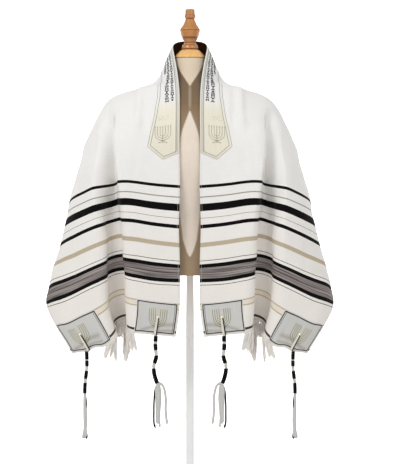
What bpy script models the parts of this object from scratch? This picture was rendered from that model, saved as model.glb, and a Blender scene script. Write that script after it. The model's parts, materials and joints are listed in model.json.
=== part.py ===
"""A tallit prayer shawl on a limbless dress form with a turned wooden finial.

Sizes are in millimetres and become metres when a mesh is made. The origin is on the floor under the stand's
base, +Z is up and the front faces -Y. The shawl is one woven rectangle, described by two distances: along,
from the centre back towards the left front end, and across, from the neck edge towards the free outer edge.
Left is the side at -X, as it is seen from the front. The right half is the left half's mirror image.
"""

import math
from collections import namedtuple

import bpy
import numpy as np

MM = 0.001

# The shawl's cut.
CLOTH_WIDTH = 546.0
CLOTH_HALF_LENGTH = 991.0
CLOTH_WALL = 2.0
FORM_CLEARANCE = 4.3  # from the form to the cloth's outer face
REST_SOFTNESS = 3.0  # how gradually the cloth comes to rest on the form
REST_TOP = 1530.0  # above this the collar stands by itself
SEAM_GAP = 0.7  # from the cloth to what is sewn on it

# The neck band, with a pointed tip at each end.
ATARAH_WIDTH = 90.0
ATARAH_WALL = 1.4
ATARAH_CORNER = 415.0
ATARAH_TIP = 456.0
ATARAH_TIP_ACROSS = 45.0

# The corner squares, with an eyelet at the centre of each.
PATCH_WALL = 1.2
PATCH_TOP = 889.0
PATCH_BOTTOM = 985.0
INNER_PATCH = (6.0, 134.0)
OUTER_PATCH = (416.0, 540.0)
EYELET_ROWS = (933.0, 941.0)
UNDER_EYELET = 963.0
HEM_ROWS = (*EYELET_ROWS, UNDER_EYELET, PATCH_BOTTOM, CLOTH_HALF_LENGTH)
INNER_EYELET = (62.0, 70.0)
OUTER_EYELET = (476.5, 484.5)

# Where the cloth lies: a row for each section across it, with six guide points from the neck edge out.
Section = namedtuple("Section", "along neck collar shoulder side flank outer")
SECTIONS = (
    Section(0, (0, 58, 1585), (0, 70, 1500), (0, 112, 1418),
            (0, 128, 1264), (0, 131, 1164), (0, 130, 1056)),
    Section(58, (-46, 25, 1575), (-73, 44, 1497), (-80, 98, 1419),
            (-77, 130, 1265), (-68, 137, 1162), (-58, 140, 1054)),
    Section(115, (-49, -25, 1543), (-91, 10, 1475), (-140, 70, 1425),
            (-152, 126, 1274), (-136, 138, 1168), (-116, 143, 1058)),
    Section(177, (-39, -56, 1491), (-101, -20, 1443), (-186, 28, 1429),
            (-232, 102, 1318), (-208, 134, 1198), (-178, 148, 1072)),
    Section(255, (-31, -82, 1420), (-108, -58, 1399), (-202, -28, 1409),
            (-286, 56, 1325), (-280, 115, 1215), (-245, 147, 1088)),
    Section(354, (-30, -119, 1327), (-121, -110, 1318), (-205, -102, 1324),
            (-308, -10, 1274), (-322, 72, 1215), (-296, 140, 1100)),
    Section(450, (-30, -131, 1231), (-124, -130, 1234), (-204, -133, 1240),
            (-321, -56, 1202), (-344, 32, 1158), (-334, 120, 1080)),
    Section(541, (-29, -133, 1141), (-122, -135, 1149), (-203, -143, 1156),
            (-332, -80, 1117), (-363, 5, 1088), (-364, 92, 1020)),
    Section(660, (-32, -133, 1024), (-120, -140, 1034), (-203, -146, 1043),
            (-342, -96, 996), (-389, -18, 965), (-396, 62, 910)),
    Section(778, (-29, -133, 907), (-119, -140, 916), (-205, -146, 925),
            (-349, -105, 873), (-411, -54, 849), (-426, 6, 828)),
    Section(823, (-29, -133, 864), (-119, -140, 870), (-207, -146, 881),
            (-351, -108, 826), (-402, -77, 807), (-429, -36, 795)),
    Section(886, (-29, -132, 799), (-119, -140, 808), (-209, -146, 814),
            (-348, -112, 751), (-381, -97, 740), (-401, -78, 734)),
    Section(991, (-42, -130, 698), (-122, -138, 706), (-196, -142, 706),
            (-294, -125, 672), (-323, -111, 659), (-348, -95, 647)),
)
GUIDE_ACROSS = (0.0, 90.0, 185.0, 340.0, 440.0, 546.0)

# The box pleat down each front: a row for each level, with how deep its middle lies, how far its two ridges
# lean over it and how far it is drawn up. It takes these two shares of the width.
Pleat = namedtuple("Pleat", "along depth overlap rise")
PLEATS = (
    Pleat(0, 0, 0, 0), Pleat(300, 0, 0, 0), Pleat(354, 2, 0, 0), Pleat(450, 8, 1, 0),
    Pleat(541, 20, 3, 0), Pleat(600, 28, 5, 0), Pleat(660, 38, 8, 2), Pleat(778, 56, 14, 14),
    Pleat(823, 64, 14, 17), Pleat(886, 78, 15, 26), Pleat(991, 96, 16, 36),
)
PLEAT_FROM = 0.25
PLEAT_TO = 0.458

# The flutes of the back and the sides: a row for each one on the left, with how far across it starts, its
# half width and how far it stands out (or in, below zero) at the free edge.
Flute = namedtuple("Flute", "along start half_width rise")
FLUTES = (
    Flute(0, 300, 40, -9), Flute(68, 250, 36, 14), Flute(135, 300, 34, -11), Flute(200, 220, 38, 16),
    Flute(268, 290, 36, -12), Flute(335, 230, 40, 15), Flute(415, 340, 40, -11), Flute(498, 350, 42, 10),
    Flute(590, 400, 44, -8),
)

# The dress form: a row for each level, with its half width and its depth to the front and to the back.
Level = namedtuple("Level", "height half_width front back")
FORM_LEVELS = (
    Level(879, 184, 114, 106), Level(920, 181, 112, 102), Level(980, 172, 108, 94),
    Level(1050, 166, 106, 88), Level(1120, 178, 116, 98), Level(1200, 202, 127, 110),
    Level(1250, 219, 127, 114), Level(1300, 232, 120, 113), Level(1340, 237, 111, 108),
    Level(1368, 236, 102, 102), Level(1391, 228, 92, 96), Level(1407, 208, 82, 90),
    Level(1420, 184, 74, 84), Level(1434, 154, 67, 78), Level(1444, 118, 62, 72),
    Level(1452, 84, 58, 66), Level(1468, 58, 54, 60), Level(1490, 50, 50, 52), Level(1528, 46, 46, 46),
)
FORM_SIDES = 32

# Turned pieces: (radius, height above the piece's foot) pairs down the outer side, and where each foot is.
CAP_PROFILE = ((27.0, 26.6), (44.0, 5.1), (44.5, 2.6), (44.0, 0.0))
CAP_FOOT = 1528.4
FINIAL_PROFILE = (
    (14.4, 121.0), (15.0, 104.6), (17.4, 100.1), (17.4, 95.1), (14.0, 92.6), (14.2, 89.6), (20.0, 75.6),
    (30.6, 60.6), (30.6, 54.6), (26.5, 38.6), (18.3, 24.6), (18.0, 15.6), (22.8, 12.6), (27.0, 0.0),
)
FINIAL_FOOT = 1555.4
BASE_PROFILE = ((22.0, 46.0), (26.0, 26.0), (60.0, 20.0), (150.0, 13.0), (172.0, 9.0), (175.0, 0.0))
POLE_RADIUS = 12.5
POLE_FOOT = 46.3
POLE_TOP = 878.7
TURNED_STEPS = 24

# How the cloth's mesh is divided: rows along it, then columns across it in three groups.
ROWS = (
    0, 34, 68, 102, 135, 168, 200, 234, 268, 302, 335, 375, ATARAH_CORNER, ATARAH_TIP, 498, 540, 582, 632,
    682, 732, 778, 815, 852, PATCH_TOP, 911, *HEM_ROWS,
)
NECK_COLUMNS = (
    0.0, INNER_PATCH[0], 26.0, ATARAH_TIP_ACROSS, *INNER_EYELET, ATARAH_WIDTH, 108.0, INNER_PATCH[1],
)
PLEAT_COLUMNS = (0.07, 0.13, 0.2, 0.29, 0.37, 0.45, 0.55, 0.63, 0.71, 0.8, 0.87, 0.93, 1.0)
PANEL_COLUMNS = (0.33, 0.67)
COLUMN_GAP = 2.0  # kept in front of the pleat where the shoulder draws the cloth in
EDGE_COLUMNS = (OUTER_PATCH[0], 449.0, *OUTER_EYELET, 512.0, OUTER_PATCH[1], CLOTH_WIDTH)

# The fringe: a row for each lock on the left, with its place across, its width, its length and its sideways
# and forward drift at the tip.
FRINGE_GAP = 0.6
FRINGE_STRIP = 5.0
Lock = namedtuple("Lock", "across width length sideways forward")
LOCKS = (
    Lock(147, 11, 62, -4, -3), Lock(160, 11, 74, -9, 2), Lock(174, 10, 70, 3, 2), Lock(190, 10, 86, 4, 2),
    Lock(207, 10, 80, -4, 0), Lock(224, 11, 94, 3, -3), Lock(241, 11, 112, 6, -4), Lock(258, 11, 92, -4, -4),
    Lock(276, 10, 98, 3, -3), Lock(294, 10, 84, -3, 0), Lock(312, 10, 92, 4, 2), Lock(330, 10, 76, -4, 2),
    Lock(347, 11, 84, 8, -2), Lock(363, 11, 74, -8, -3), Lock(379, 11, 62, 3, -2), Lock(395, 10, 56, -3, -2),
)

# Shares of a lock's length, and of its width there.
LOCK_SHARES = (0.0, 0.25, 0.75, 1.0)
LOCK_WIDTHS = (0.7, 1.0, 0.85, 0.45)
LOCK_FLATNESS = 0.5

# The tzitzit: a row for each one on the left. The head hangs under the eyelet and drifts sideways, and the
# strands under it spread by this share of their drift.
Tassel = namedtuple("Tassel", "place eyelet top_shift foot_shift head_length strand_length spread")
TASSELS = (
    Tassel("inner", INNER_EYELET, 0.0, 5.0, 134.0, 138.0, 1.0),
    Tassel("outer", OUTER_EYELET, 6.0, 2.0, 120.0, 132.0, 0.4),
)
HEAD_DROP = 10.0  # from the hem down to the top of the wound head
HEAD_SIDES = 6
# Shares of the head's length, with the radius there: four wound lengths with a knot between each two.
HEAD_RADII = (
    (0.0, 3.4), (0.03, 5.0), (0.14, 5.0), (0.18, 3.8), (0.22, 5.0), (0.36, 5.0), (0.41, 3.8),
    (0.46, 5.0), (0.62, 5.0), (0.68, 3.8), (0.74, 5.0), (0.97, 5.0), (1.0, 4.0),
)
HEAD_SWAY_FOOT = 1.5  # shares of the foot's shift that bend the head, there and the other way at its middle
HEAD_SWAY_MIDDLE = 0.5

# The loop of each one, through the eyelet and over the patch's lower half.
LOOP_WIDTH = 5.0
LOOP_THICKNESS = 2.4
LOOP_CLEARANCE = 0.55
LOOP_IN_EYELET = 3.4  # how far into the eyelet it passes
LOOP_TURN = 3.0  # where it turns into the eyelet, and how far it has dipped there
LOOP_TURN_DIP = 1.0
LOOP_PAST_HEM = 3.5
LOOP_END = 5.0  # how far its two ends run down inside the head, this far apart from each other
LOOP_END_GAP = 0.8

# Strands under each head: a row for each one, with its place in the head and its drift at the tip.
Strand = namedtuple("Strand", "root_x root_y drift_x drift_y share")
STRANDS = (
    Strand(-3.4, -1.2, -5.0, -2.0, 1.0), Strand(0.0, -2.4, -1.0, -4.0, 0.93),
    Strand(2.4, -2.0, 4.0, -3.0, 0.97), Strand(-2.6, 0.6, -4.0, 1.0, 0.9),
    Strand(2.8, 0.6, 13.0, 0.0, 0.95), Strand(-1.6, 2.6, -3.0, 5.0, 0.96),
    Strand(1.0, 2.8, 2.0, 6.0, 0.92), Strand(0.0, 0.2, 1.5, 0.8, 0.99),
)
STRAND_RADIUS = 1.1
STRAND_SIDES = 3
STRAND_ROOT = 6.0  # how far up inside the head a strand starts
STRAND_SHARES = (0.0, 0.35, 0.7, 1.0)
STRAND_DROOP = 1.5

Finish = namedtuple("Finish", "name colour roughness")
FINISHES = (
    Finish("shawl_wool", (0.86, 0.84, 0.82), 0.85),
    Finish("atarah_cloth", (0.86, 0.82, 0.74), 0.7),
    Finish("patch_satin", (0.55, 0.54, 0.53), 0.45),
    Finish("tassel_cord", (0.80, 0.79, 0.76), 0.8),
    Finish("fringe_yarn", (0.66, 0.62, 0.58), 0.85),
    Finish("form_cover", (0.42, 0.34, 0.26), 0.8),
    Finish("cap_wood", (0.74, 0.46, 0.22), 0.4),
    Finish("finial_wood", (0.38, 0.16, 0.05), 0.35),
    Finish("stand_paint", (0.85, 0.85, 0.84), 0.4),
)


def spline(stops, values, wanted):
    """A natural cubic spline through the values at the stops, read at the wanted places."""
    stops = np.asarray(stops, float)
    values = np.asarray(values, float)
    gaps = np.diff(stops)
    tall = (-1,) + (1,) * (values.ndim - 1)
    slopes = np.diff(values, axis=0) / gaps.reshape(tall)
    system = np.eye(len(stops))
    turns = np.zeros_like(values)
    for i in range(1, len(stops) - 1):
        system[i, i - 1 : i + 2] = gaps[i - 1], 2 * (gaps[i - 1] + gaps[i]), gaps[i]
        turns[i] = 6 * (slopes[i] - slopes[i - 1])
    bends = np.linalg.solve(system, turns.reshape(len(stops), -1)).reshape(values.shape)
    wanted = np.asarray(wanted, float)
    at = np.clip(np.searchsorted(stops, wanted) - 1, 0, len(stops) - 2)
    gap = gaps[at].reshape(tall)
    before = (stops[at + 1] - wanted).reshape(tall) / gap
    after = 1 - before
    bend = (before**3 - before) * bends[at] + (after**3 - after) * bends[at + 1]
    return before * values[at] + after * values[at + 1] + bend * gap**2 / 6


def unit(vectors):
    return vectors / np.maximum(np.linalg.norm(vectors, axis=-1, keepdims=True), 1e-9)


def ease(share):
    share = np.clip(share, 0, 1)
    return share * share * (3 - 2 * share)


def form_reach(points):
    """How far points lie outside the form, as a share of its section there."""
    levels = np.array(FORM_LEVELS, float)
    half_width, front, back = (np.interp(points[..., 2], levels[:, 0], levels[:, i]) for i in (1, 2, 3))
    depth = np.where(points[..., 1] < 0, front, back)
    return np.hypot(points[..., 0] / half_width, points[..., 1] / depth) - 1


def form_distance(points, probe=0.5):
    """The distance of points from the form, in millimetres, and the way straight out of it."""
    slopes = [
        (form_reach(points + step) - form_reach(points - step)) / (2 * probe) for step in np.eye(3) * probe
    ]
    slope = np.stack(slopes, -1)
    size = np.maximum(np.linalg.norm(slope, axis=-1), 1e-6)
    return form_reach(points) / size, slope / size[..., None]


def rest_on_form(points, rounds=6, most=12.0):
    """Points nearer to the form than the cloth can lie, moved straight out of it, with a soft start."""
    distance, _ = form_distance(points)
    over = np.clip((distance - FORM_CLEARANCE) / REST_SOFTNESS, -30, 30)
    wanted = np.maximum(FORM_CLEARANCE + REST_SOFTNESS * np.log1p(np.exp(over)), distance)
    wanted = np.where(points[..., 2] < REST_TOP, wanted, distance)
    for _ in range(rounds):
        distance, way = form_distance(points)
        points = points + way * np.clip(wanted - distance, 0, most)[..., None]
    return points


def draped(alongs, samples=241):
    """The cloth's outer face on the left: a row of points for each distance along, not yet cut to width."""
    mirrored = [(-s.along, [(-x, y, z) for x, y, z in s[1:]]) for s in SECTIONS[:0:-1]]
    rows = mirrored + [(s.along, s[1:]) for s in SECTIONS]
    guides = spline([along for along, _ in rows], np.array([points for _, points in rows], float), alongs)
    shares = np.linspace(0, 1, samples)
    points = spline(np.array(GUIDE_ACROSS) / CLOTH_WIDTH, np.moveaxis(guides, 1, 0), shares)
    points = np.moveaxis(points, 0, 1)
    sideways = unit(np.gradient(points, axis=1))
    downwards = unit(np.gradient(points, np.asarray(alongs, float), axis=0))
    outwards = unit(np.cross(sideways, downwards))

    distance = np.abs(np.asarray(alongs, float))
    table = np.array(PLEATS, float)
    depth, overlap, rise = (np.interp(distance, table[:, 0], table[:, i])[:, None, None] for i in (1, 2, 3))
    turn = np.clip((shares - PLEAT_FROM) / (PLEAT_TO - PLEAT_FROM), 0, 1)[None, :, None]
    middle = (1 - np.cos(2 * np.pi * turn)) / 2
    points = points - outwards * depth * middle
    points = points + sideways * overlap * np.sin(4 * np.pi * turn) * np.sqrt(np.sin(np.pi * turn))
    points[..., 2] += (rise * middle)[..., 0]

    for flute in FLUTES:
        for side in (1, -1):
            if side < 0 and flute.along == 0:
                continue
            near = np.exp(-(((np.asarray(alongs, float) - side * flute.along) / flute.half_width) ** 2))
            grown = ease((shares * CLOTH_WIDTH - flute.start) / (CLOTH_WIDTH - flute.start))
            points = points + outwards * (flute.rise * near[:, None] * grown[None, :])[..., None]
    return rest_on_form(points)


def cut_to_width(points):
    """The share of the cut width at each sample of each row, by length along the row."""
    steps = np.linalg.norm(np.diff(points, axis=1), axis=2)
    lengths = np.concatenate([np.zeros((len(points), 1)), np.cumsum(steps, axis=1)], axis=1)
    return lengths / lengths[:, -1:] * CLOTH_WIDTH


def column_samples(distances, samples):
    """Where each column falls among one row's samples."""
    shares = np.linspace(0, 1, samples)
    pleat_end = np.interp(PLEAT_TO, shares, distances)
    panel = [pleat_end + part * (OUTER_PATCH[0] - pleat_end) for part in PANEL_COLUMNS]
    pleat = PLEAT_FROM + np.array(PLEAT_COLUMNS) * (PLEAT_TO - PLEAT_FROM)
    most = np.interp(pleat[0], shares, distances) - COLUMN_GAP
    neck = np.interp(np.minimum(NECK_COLUMNS, most), distances, shares)
    edge = np.interp(panel + list(EDGE_COLUMNS), distances, shares)
    return np.concatenate([neck, pleat, edge]) * (samples - 1)


def read_row(row, places):
    return np.stack([np.interp(places, np.arange(len(row)), row[:, i]) for i in range(3)], -1)


def cloth_grid(step=1.0):
    """Points, outward and downward directions and distances across, from the right end to the left end."""
    alongs = np.array(ROWS, float)
    every = np.sort(np.concatenate([alongs - step, alongs, alongs + step]))
    points = draped(every)
    sideways = unit(np.gradient(points, axis=1))
    downwards = unit(np.gradient(points, every, axis=0))
    outwards = unit(np.cross(sideways, downwards))
    distances = cut_to_width(points)
    middle = np.searchsorted(every, alongs)
    places = [column_samples(distances[i], points.shape[1]) for i in middle]
    fields = []
    for field in (points, outwards, downwards):
        left = np.array([read_row(field[i], place) for i, place in zip(middle, places)])
        left[0, :, 0] = 0.0
        fields.append(np.concatenate([left[:0:-1] * (-1, 1, 1), left]))
    samples = np.arange(points.shape[1])
    across = np.array([np.interp(place, samples, distances[i]) for i, place in zip(middle, places)])
    fields.append(np.concatenate([across[:0:-1], across]))
    return fields


def row_index(along, side):
    """The grid's row at a distance along the left (side 1) or right (side -1) half."""
    return len(ROWS) - 1 + side * ROWS.index(along)


def column_index(distance):
    if distance in NECK_COLUMNS:
        return NECK_COLUMNS.index(distance)
    return len(NECK_COLUMNS) + len(PLEAT_COLUMNS) + len(PANEL_COLUMNS) + EDGE_COLUMNS.index(distance)


def cell_triangles(rows, columns, across, skip=()):
    """Triangles facing out over a block of the grid's cells, the same way on both halves."""
    triangles = []
    for i in rows:
        for j in columns:
            if (i, j) in skip:
                continue
            a, b, c, d = i * across + j, (i + 1) * across + j, (i + 1) * across + j + 1, i * across + j + 1
            if i < len(ROWS) - 1:
                triangles += [(a, d, b), (b, d, c)]
            else:
                triangles += [(a, d, c), (a, c, b)]
    return triangles


def thickened(triangles, outer, inner):
    """A closed wall between matching outer and inner points, under the outer face's triangles."""
    used = sorted({corner for triangle in triangles for corner in triangle})
    renumbered = {old: new for new, old in enumerate(used)}
    triangles = [tuple(renumbered[corner] for corner in triangle) for triangle in triangles]
    count = len(used)
    edges = {(t[k], t[(k + 1) % 3]) for t in triangles for k in range(3)}
    faces = list(triangles)
    faces += [tuple(corner + count for corner in reversed(triangle)) for triangle in triangles]
    for start, end in sorted(edges):
        if (end, start) not in edges:
            faces += [(end, start, start + count), (end, start + count, end + count)]
    return np.concatenate([outer[used], inner[used]]), faces


def tube(path, widths, depths, width_way, sides):
    """A closed swept tube, its rings turned so that their width runs as near width_way as it can."""
    path = np.asarray(path, float)
    ways = unit(np.gradient(path, axis=0))
    wide = unit(width_way - ways * (ways @ width_way)[:, None])
    deep = np.cross(ways, wide)
    points = []
    for centre, w, d, width, depth in zip(path, wide, deep, widths, depths):
        for k in range(sides):
            angle = 2 * math.pi * (k + 0.5) / sides
            reach = 1 / math.cos(math.pi / sides) if sides == 4 else 1
            points.append(centre + reach * (w * width * math.cos(angle) + d * depth * math.sin(angle)))
    faces = [tuple(reversed(range(sides)))]
    for ring in range(len(path) - 1):
        for k in range(sides):
            low, next_k = ring * sides, (k + 1) % sides
            faces.append((low + k, low + next_k, low + sides + next_k, low + sides + k))
    last = (len(path) - 1) * sides
    faces.append(tuple(range(last, last + sides)))
    return np.array(points), faces


def joined(shapes):
    """Several point-and-face shapes as one."""
    points, faces, count = [], [], 0
    for shape_points, shape_faces in shapes:
        points.append(shape_points)
        faces += [tuple(corner + count for corner in face) for face in shape_faces]
        count += len(shape_points)
    return np.concatenate(points), faces


def add_object(name, shape, material, parent, smooth_angle=40):
    points, faces = shape
    mesh = bpy.data.meshes.new(name)
    mesh.from_pydata((np.asarray(points) * MM).tolist(), [], faces)
    mesh.shade_smooth()
    mesh.set_sharp_from_angle(angle=math.radians(smooth_angle))
    mesh.materials.append(material)
    thing = bpy.data.objects.new(name, mesh)
    thing.parent = parent
    bpy.context.collection.objects.link(thing)
    return thing


def add_turned(name, profile, foot, material, parent):
    """A solid of revolution standing on its foot, closed on the axis."""
    top, bottom = profile[0][1], profile[-1][1]
    outline = [(0.0, top), *profile, (0.0, bottom)]
    mesh = bpy.data.meshes.new(name)
    vertices = [(radius * MM, 0.0, height * MM) for radius, height in outline]
    mesh.from_pydata(vertices, [(i, i + 1) for i in range(len(vertices) - 1)], [])
    mesh.materials.append(material)
    thing = bpy.data.objects.new(name, mesh)
    thing.location.z = foot * MM
    thing.parent = parent
    bpy.context.collection.objects.link(thing)
    screw = thing.modifiers.new("Turned", "SCREW")
    screw.steps = screw.render_steps = TURNED_STEPS
    screw.use_merge_vertices = True
    screw.merge_threshold = 0.0001
    screw.use_smooth_shade = True
    return thing


def fuse(thing, shape, name):
    """Join a shape to a piece with a Boolean union, the shape's own object staying a guide."""
    guide = add_object(name, shape, thing.data.materials[0], thing.parent)
    guide.hide_render = True
    guide.display_type = "WIRE"
    union = thing.modifiers.new(name, "BOOLEAN")
    union.operation = "UNION"
    union.object = guide


def add_material(name, colour, roughness):
    material = bpy.data.materials.new(name)
    material.use_nodes = True
    surface = material.node_tree.nodes["Principled BSDF"]
    surface.inputs["Base Color"].default_value = (*colour, 1.0)
    surface.inputs["Roughness"].default_value = roughness
    surface.inputs["Metallic"].default_value = 0.0
    return material


def add_form(materials, parent):
    """The limbless torso, with elliptical levels deeper at the front or at the back."""
    points = []
    for level in FORM_LEVELS:
        for k in range(FORM_SIDES):
            angle = 2 * math.pi * k / FORM_SIDES
            depth = level.back if math.sin(angle) > 0 else level.front
            points.append((level.half_width * math.cos(angle), depth * math.sin(angle), level.height))
    faces = [tuple(reversed(range(FORM_SIDES)))]
    for ring in range(len(FORM_LEVELS) - 1):
        low = ring * FORM_SIDES
        for k in range(FORM_SIDES):
            next_k = (k + 1) % FORM_SIDES
            faces.append((low + k, low + next_k, low + FORM_SIDES + next_k, low + FORM_SIDES + k))
    top = (len(FORM_LEVELS) - 1) * FORM_SIDES
    faces.append(tuple(range(top, top + FORM_SIDES)))
    add_object("form_torso", (points, faces), materials["form_cover"], parent)


def add_stand(materials, parent):
    add_turned("form_neck_cap", CAP_PROFILE, CAP_FOOT, materials["cap_wood"], parent)
    add_turned("form_finial", FINIAL_PROFILE, FINIAL_FOOT, materials["finial_wood"], parent)
    pole = ((POLE_RADIUS, POLE_TOP - POLE_FOOT), (POLE_RADIUS, 0.0))
    add_turned("stand_pole", pole, POLE_FOOT, materials["stand_paint"], parent)
    add_turned("stand_base", BASE_PROFILE, 0.0, materials["stand_paint"], parent)


def flat(field):
    return field.reshape(-1, 3)


def add_cloth(grid, materials, parent):
    points, outwards, _, across = grid
    rows, columns = across.shape
    holes = set()
    for side in (1, -1):
        row = min(row_index(EYELET_ROWS[0], side), row_index(EYELET_ROWS[1], side))
        holes |= {(row, column_index(INNER_EYELET[0])), (row, column_index(OUTER_EYELET[0]))}
    triangles = cell_triangles(range(rows - 1), range(columns - 1), columns, holes)
    shape = thickened(triangles, flat(points), flat(points - outwards * CLOTH_WALL))
    add_object("shawl_cloth", shape, materials["shawl_wool"], parent)
    return holes


def add_atarah(grid, materials, parent):
    """The neck band, laid on the cloth's outer face, with a fan of triangles for each tip."""
    points, outwards, _, across = grid
    columns = across.shape[1]
    last = column_index(ATARAH_WIDTH)
    first_row, last_row = row_index(ATARAH_CORNER, -1), row_index(ATARAH_CORNER, 1)
    triangles = cell_triangles(range(first_row, last_row), range(last), columns)
    tip_column = column_index(ATARAH_TIP_ACROSS)
    for side, row in ((-1, first_row), (1, last_row)):
        tip = row_index(ATARAH_TIP, side) * columns + tip_column
        for j in range(last):
            edge = (row * columns + j, row * columns + j + 1)
            triangles.append((*edge, tip) if side > 0 else (edge[1], edge[0], tip))
    inner = points + outwards * SEAM_GAP
    shape = thickened(triangles, flat(inner + outwards * ATARAH_WALL), flat(inner))
    add_object("atarah", shape, materials["atarah_cloth"], parent)


def add_patch(name, side, span, holes, grid, materials, parent):
    points, outwards, _, across = grid
    ends = sorted((row_index(PATCH_TOP, side), row_index(PATCH_BOTTOM, side)))
    columns = range(column_index(span[0]), column_index(span[1]))
    triangles = cell_triangles(range(*ends), columns, across.shape[1], holes)
    inner = points + outwards * SEAM_GAP
    shape = thickened(triangles, flat(inner + outwards * PATCH_WALL), flat(inner))
    add_object(name, shape, materials["patch_satin"], parent)


def add_fringe(name, side, grid, materials, parent):
    """A narrow strip just past the hem, with soft locks hanging from it."""
    points, outwards, downwards, across = grid
    row = row_index(CLOTH_HALF_LENGTH, side)
    first = len(NECK_COLUMNS)
    span = slice(first, first + len(PLEAT_COLUMNS) + len(PANEL_COLUMNS))
    hem, out, down, place = points[row, span], outwards[row, span], downwards[row, span], across[row, span]
    near, far = hem + down * FRINGE_GAP, hem + down * (FRINGE_GAP + FRINGE_STRIP)
    count = len(hem)
    triangles = []
    for j in range(count - 1):
        cell = [(j, j + 1, count + j + 1), (j, count + j + 1, count + j)]
        triangles += cell if side > 0 else [tuple(reversed(t)) for t in cell]
    outer = np.concatenate([near, far])
    inner = outer - np.concatenate([out, out]) * CLOTH_WALL
    strip = add_object(name, thickened(triangles, outer, inner), materials["fringe_yarn"], parent)

    middle = (near + far) / 2 - out * CLOTH_WALL / 2
    locks = []
    for lock in LOCKS:
        root = np.array([np.interp(lock.across, place, middle[:, i]) for i in range(3)])
        j = int(np.clip(np.searchsorted(place, lock.across), 1, count - 1))
        width_way = unit((hem[j] - hem[j - 1]) * (1, 1, 0))
        drift = np.array((-side * lock.sideways, lock.forward, 0.0))
        path = [root + drift * share**2 + np.array((0, 0, -lock.length * share)) for share in LOCK_SHARES]
        widths = [lock.width / 2 * share for share in LOCK_WIDTHS]
        depths = [width * LOCK_FLATNESS for width in widths]
        locks.append(tube(path, widths, depths, width_way, 4))
    fuse(strip, joined(locks), name + "_locks")


def loop_path(eyelet, side, grid):
    """The loop's path over the cloth, from in front of the hem through the eyelet to behind the hem."""
    points, outwards, downwards, _ = grid
    first = column_index(eyelet[0])
    rows = [row_index(along, side) for along in HEM_ROWS]
    line = np.array([points[row, first : first + 2].mean(axis=0) for row in rows])
    out = np.array([unit(outwards[row, first : first + 2].sum(axis=0)) for row in rows])

    def over_cloth(along, height):
        where, way = ([np.interp(along, HEM_ROWS, part) for part in field.T] for field in (line, out))
        return np.array(where) + np.array(way) * height

    front = SEAM_GAP + PATCH_WALL + LOOP_CLEARANCE + LOOP_THICKNESS / 2
    back = -(CLOTH_WALL + LOOP_CLEARANCE + LOOP_THICKNESS / 2)
    lip = EYELET_ROWS[1]
    past_hem = downwards[rows[-1], first] * LOOP_PAST_HEM
    path = [
        over_cloth(CLOTH_HALF_LENGTH, front) + past_hem,
        over_cloth(PATCH_BOTTOM, front),
        over_cloth(UNDER_EYELET, front),
        over_cloth(lip, front),
        over_cloth(lip - LOOP_TURN, front - LOOP_TURN_DIP),
        over_cloth(lip - LOOP_IN_EYELET, (front + back) / 2),
        over_cloth(lip - LOOP_TURN, back + LOOP_TURN_DIP),
        over_cloth(lip, back),
        over_cloth(UNDER_EYELET, back),
        over_cloth(PATCH_BOTTOM, back),
        over_cloth(CLOTH_HALF_LENGTH, back) + past_hem,
    ]
    width_way = unit(points[rows[-1], first + 1] - points[rows[-1], first])
    return path, over_cloth(CLOTH_HALF_LENGTH, -CLOTH_WALL / 2), out[-1], width_way


def add_tassel(name, tassel, side, grid, materials, parent):
    """A tzitzit: a loop through the eyelet and over the patch, a wound head, and free strands."""
    path, hem, out, width_way = loop_path(tassel.eyelet, side, grid)
    top = hem + (-side * tassel.top_shift, 0, -HEAD_DROP)
    apart = out * (LOOP_THICKNESS + LOOP_END_GAP) / 2
    end = top - (0, 0, LOOP_END)
    path = [end + apart, top + apart, *path, top - apart, end - apart]
    widths = [LOOP_WIDTH / 2] * len(path)
    depths = [LOOP_THICKNESS / 2] * len(path)
    loop = tube(path, widths, depths, width_way, 4)

    crosswise = np.array((1.0, 0.0, 0.0))
    head_path = []
    for share, _ in HEAD_RADII:
        bend = HEAD_SWAY_FOOT * share**2 - HEAD_SWAY_MIDDLE * math.sin(math.pi * share)
        head_path.append(top + (side * tassel.foot_shift * bend, 0, -tassel.head_length * share))
    radii = [radius for _, radius in HEAD_RADII]
    head = tube(head_path, radii, radii, crosswise, HEAD_SIDES)
    thing = add_object(name, head, materials["tassel_cord"], parent)

    foot = head_path[-1]
    strands = []
    for strand in STRANDS:
        root = foot + (side * strand.root_x, strand.root_y, STRAND_ROOT)
        drift = np.array((side * strand.drift_x, strand.drift_y, 0.0)) * tassel.spread
        fall = np.array((0.0, 0.0, -STRAND_ROOT - tassel.strand_length * strand.share))
        strand_path = [root + drift * share**STRAND_DROOP + fall * share for share in STRAND_SHARES]
        size = [STRAND_RADIUS] * len(strand_path)
        strands.append(tube(strand_path, size, size, crosswise, STRAND_SIDES))
    fuse(thing, loop, name + "_loop")
    fuse(thing, joined(strands), name + "_strands")


def main():
    for thing in list(bpy.data.objects):
        bpy.data.objects.remove(thing, do_unlink=True)
    root = bpy.data.objects.new("shawl_on_form", None)
    bpy.context.collection.objects.link(root)
    materials = {finish.name: add_material(*finish) for finish in FINISHES}
    grid = cloth_grid()
    add_form(materials, root)
    add_stand(materials, root)
    holes = add_cloth(grid, materials, root)
    add_atarah(grid, materials, root)
    for side, hand in ((1, "left"), (-1, "right")):
        add_patch(f"corner_patch_{hand}_inner", side, INNER_PATCH, holes, grid, materials, root)
        add_patch(f"corner_patch_{hand}_outer", side, OUTER_PATCH, holes, grid, materials, root)
        add_fringe(f"fringe_{hand}", side, grid, materials, root)
        for tassel in TASSELS:
            add_tassel(f"tzitzit_{hand}_{tassel.place}", tassel, side, grid, materials, root)


main()
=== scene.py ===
"""A tallit prayer shawl on a limbless dress form: the finish of every piece.

Lengths in the tables are in millimetres and become metres when a mesh is made. The shawl is described by two
distances: along, from the centre back towards the left front end (and below zero towards the right one), and
across, from the neck edge to the free outer edge. Left is the side at -X, as it is seen from the front. Both
distances are also kept, in metres, in the cloth's UV map, so that stripes and weave follow the folds.
"""

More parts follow.
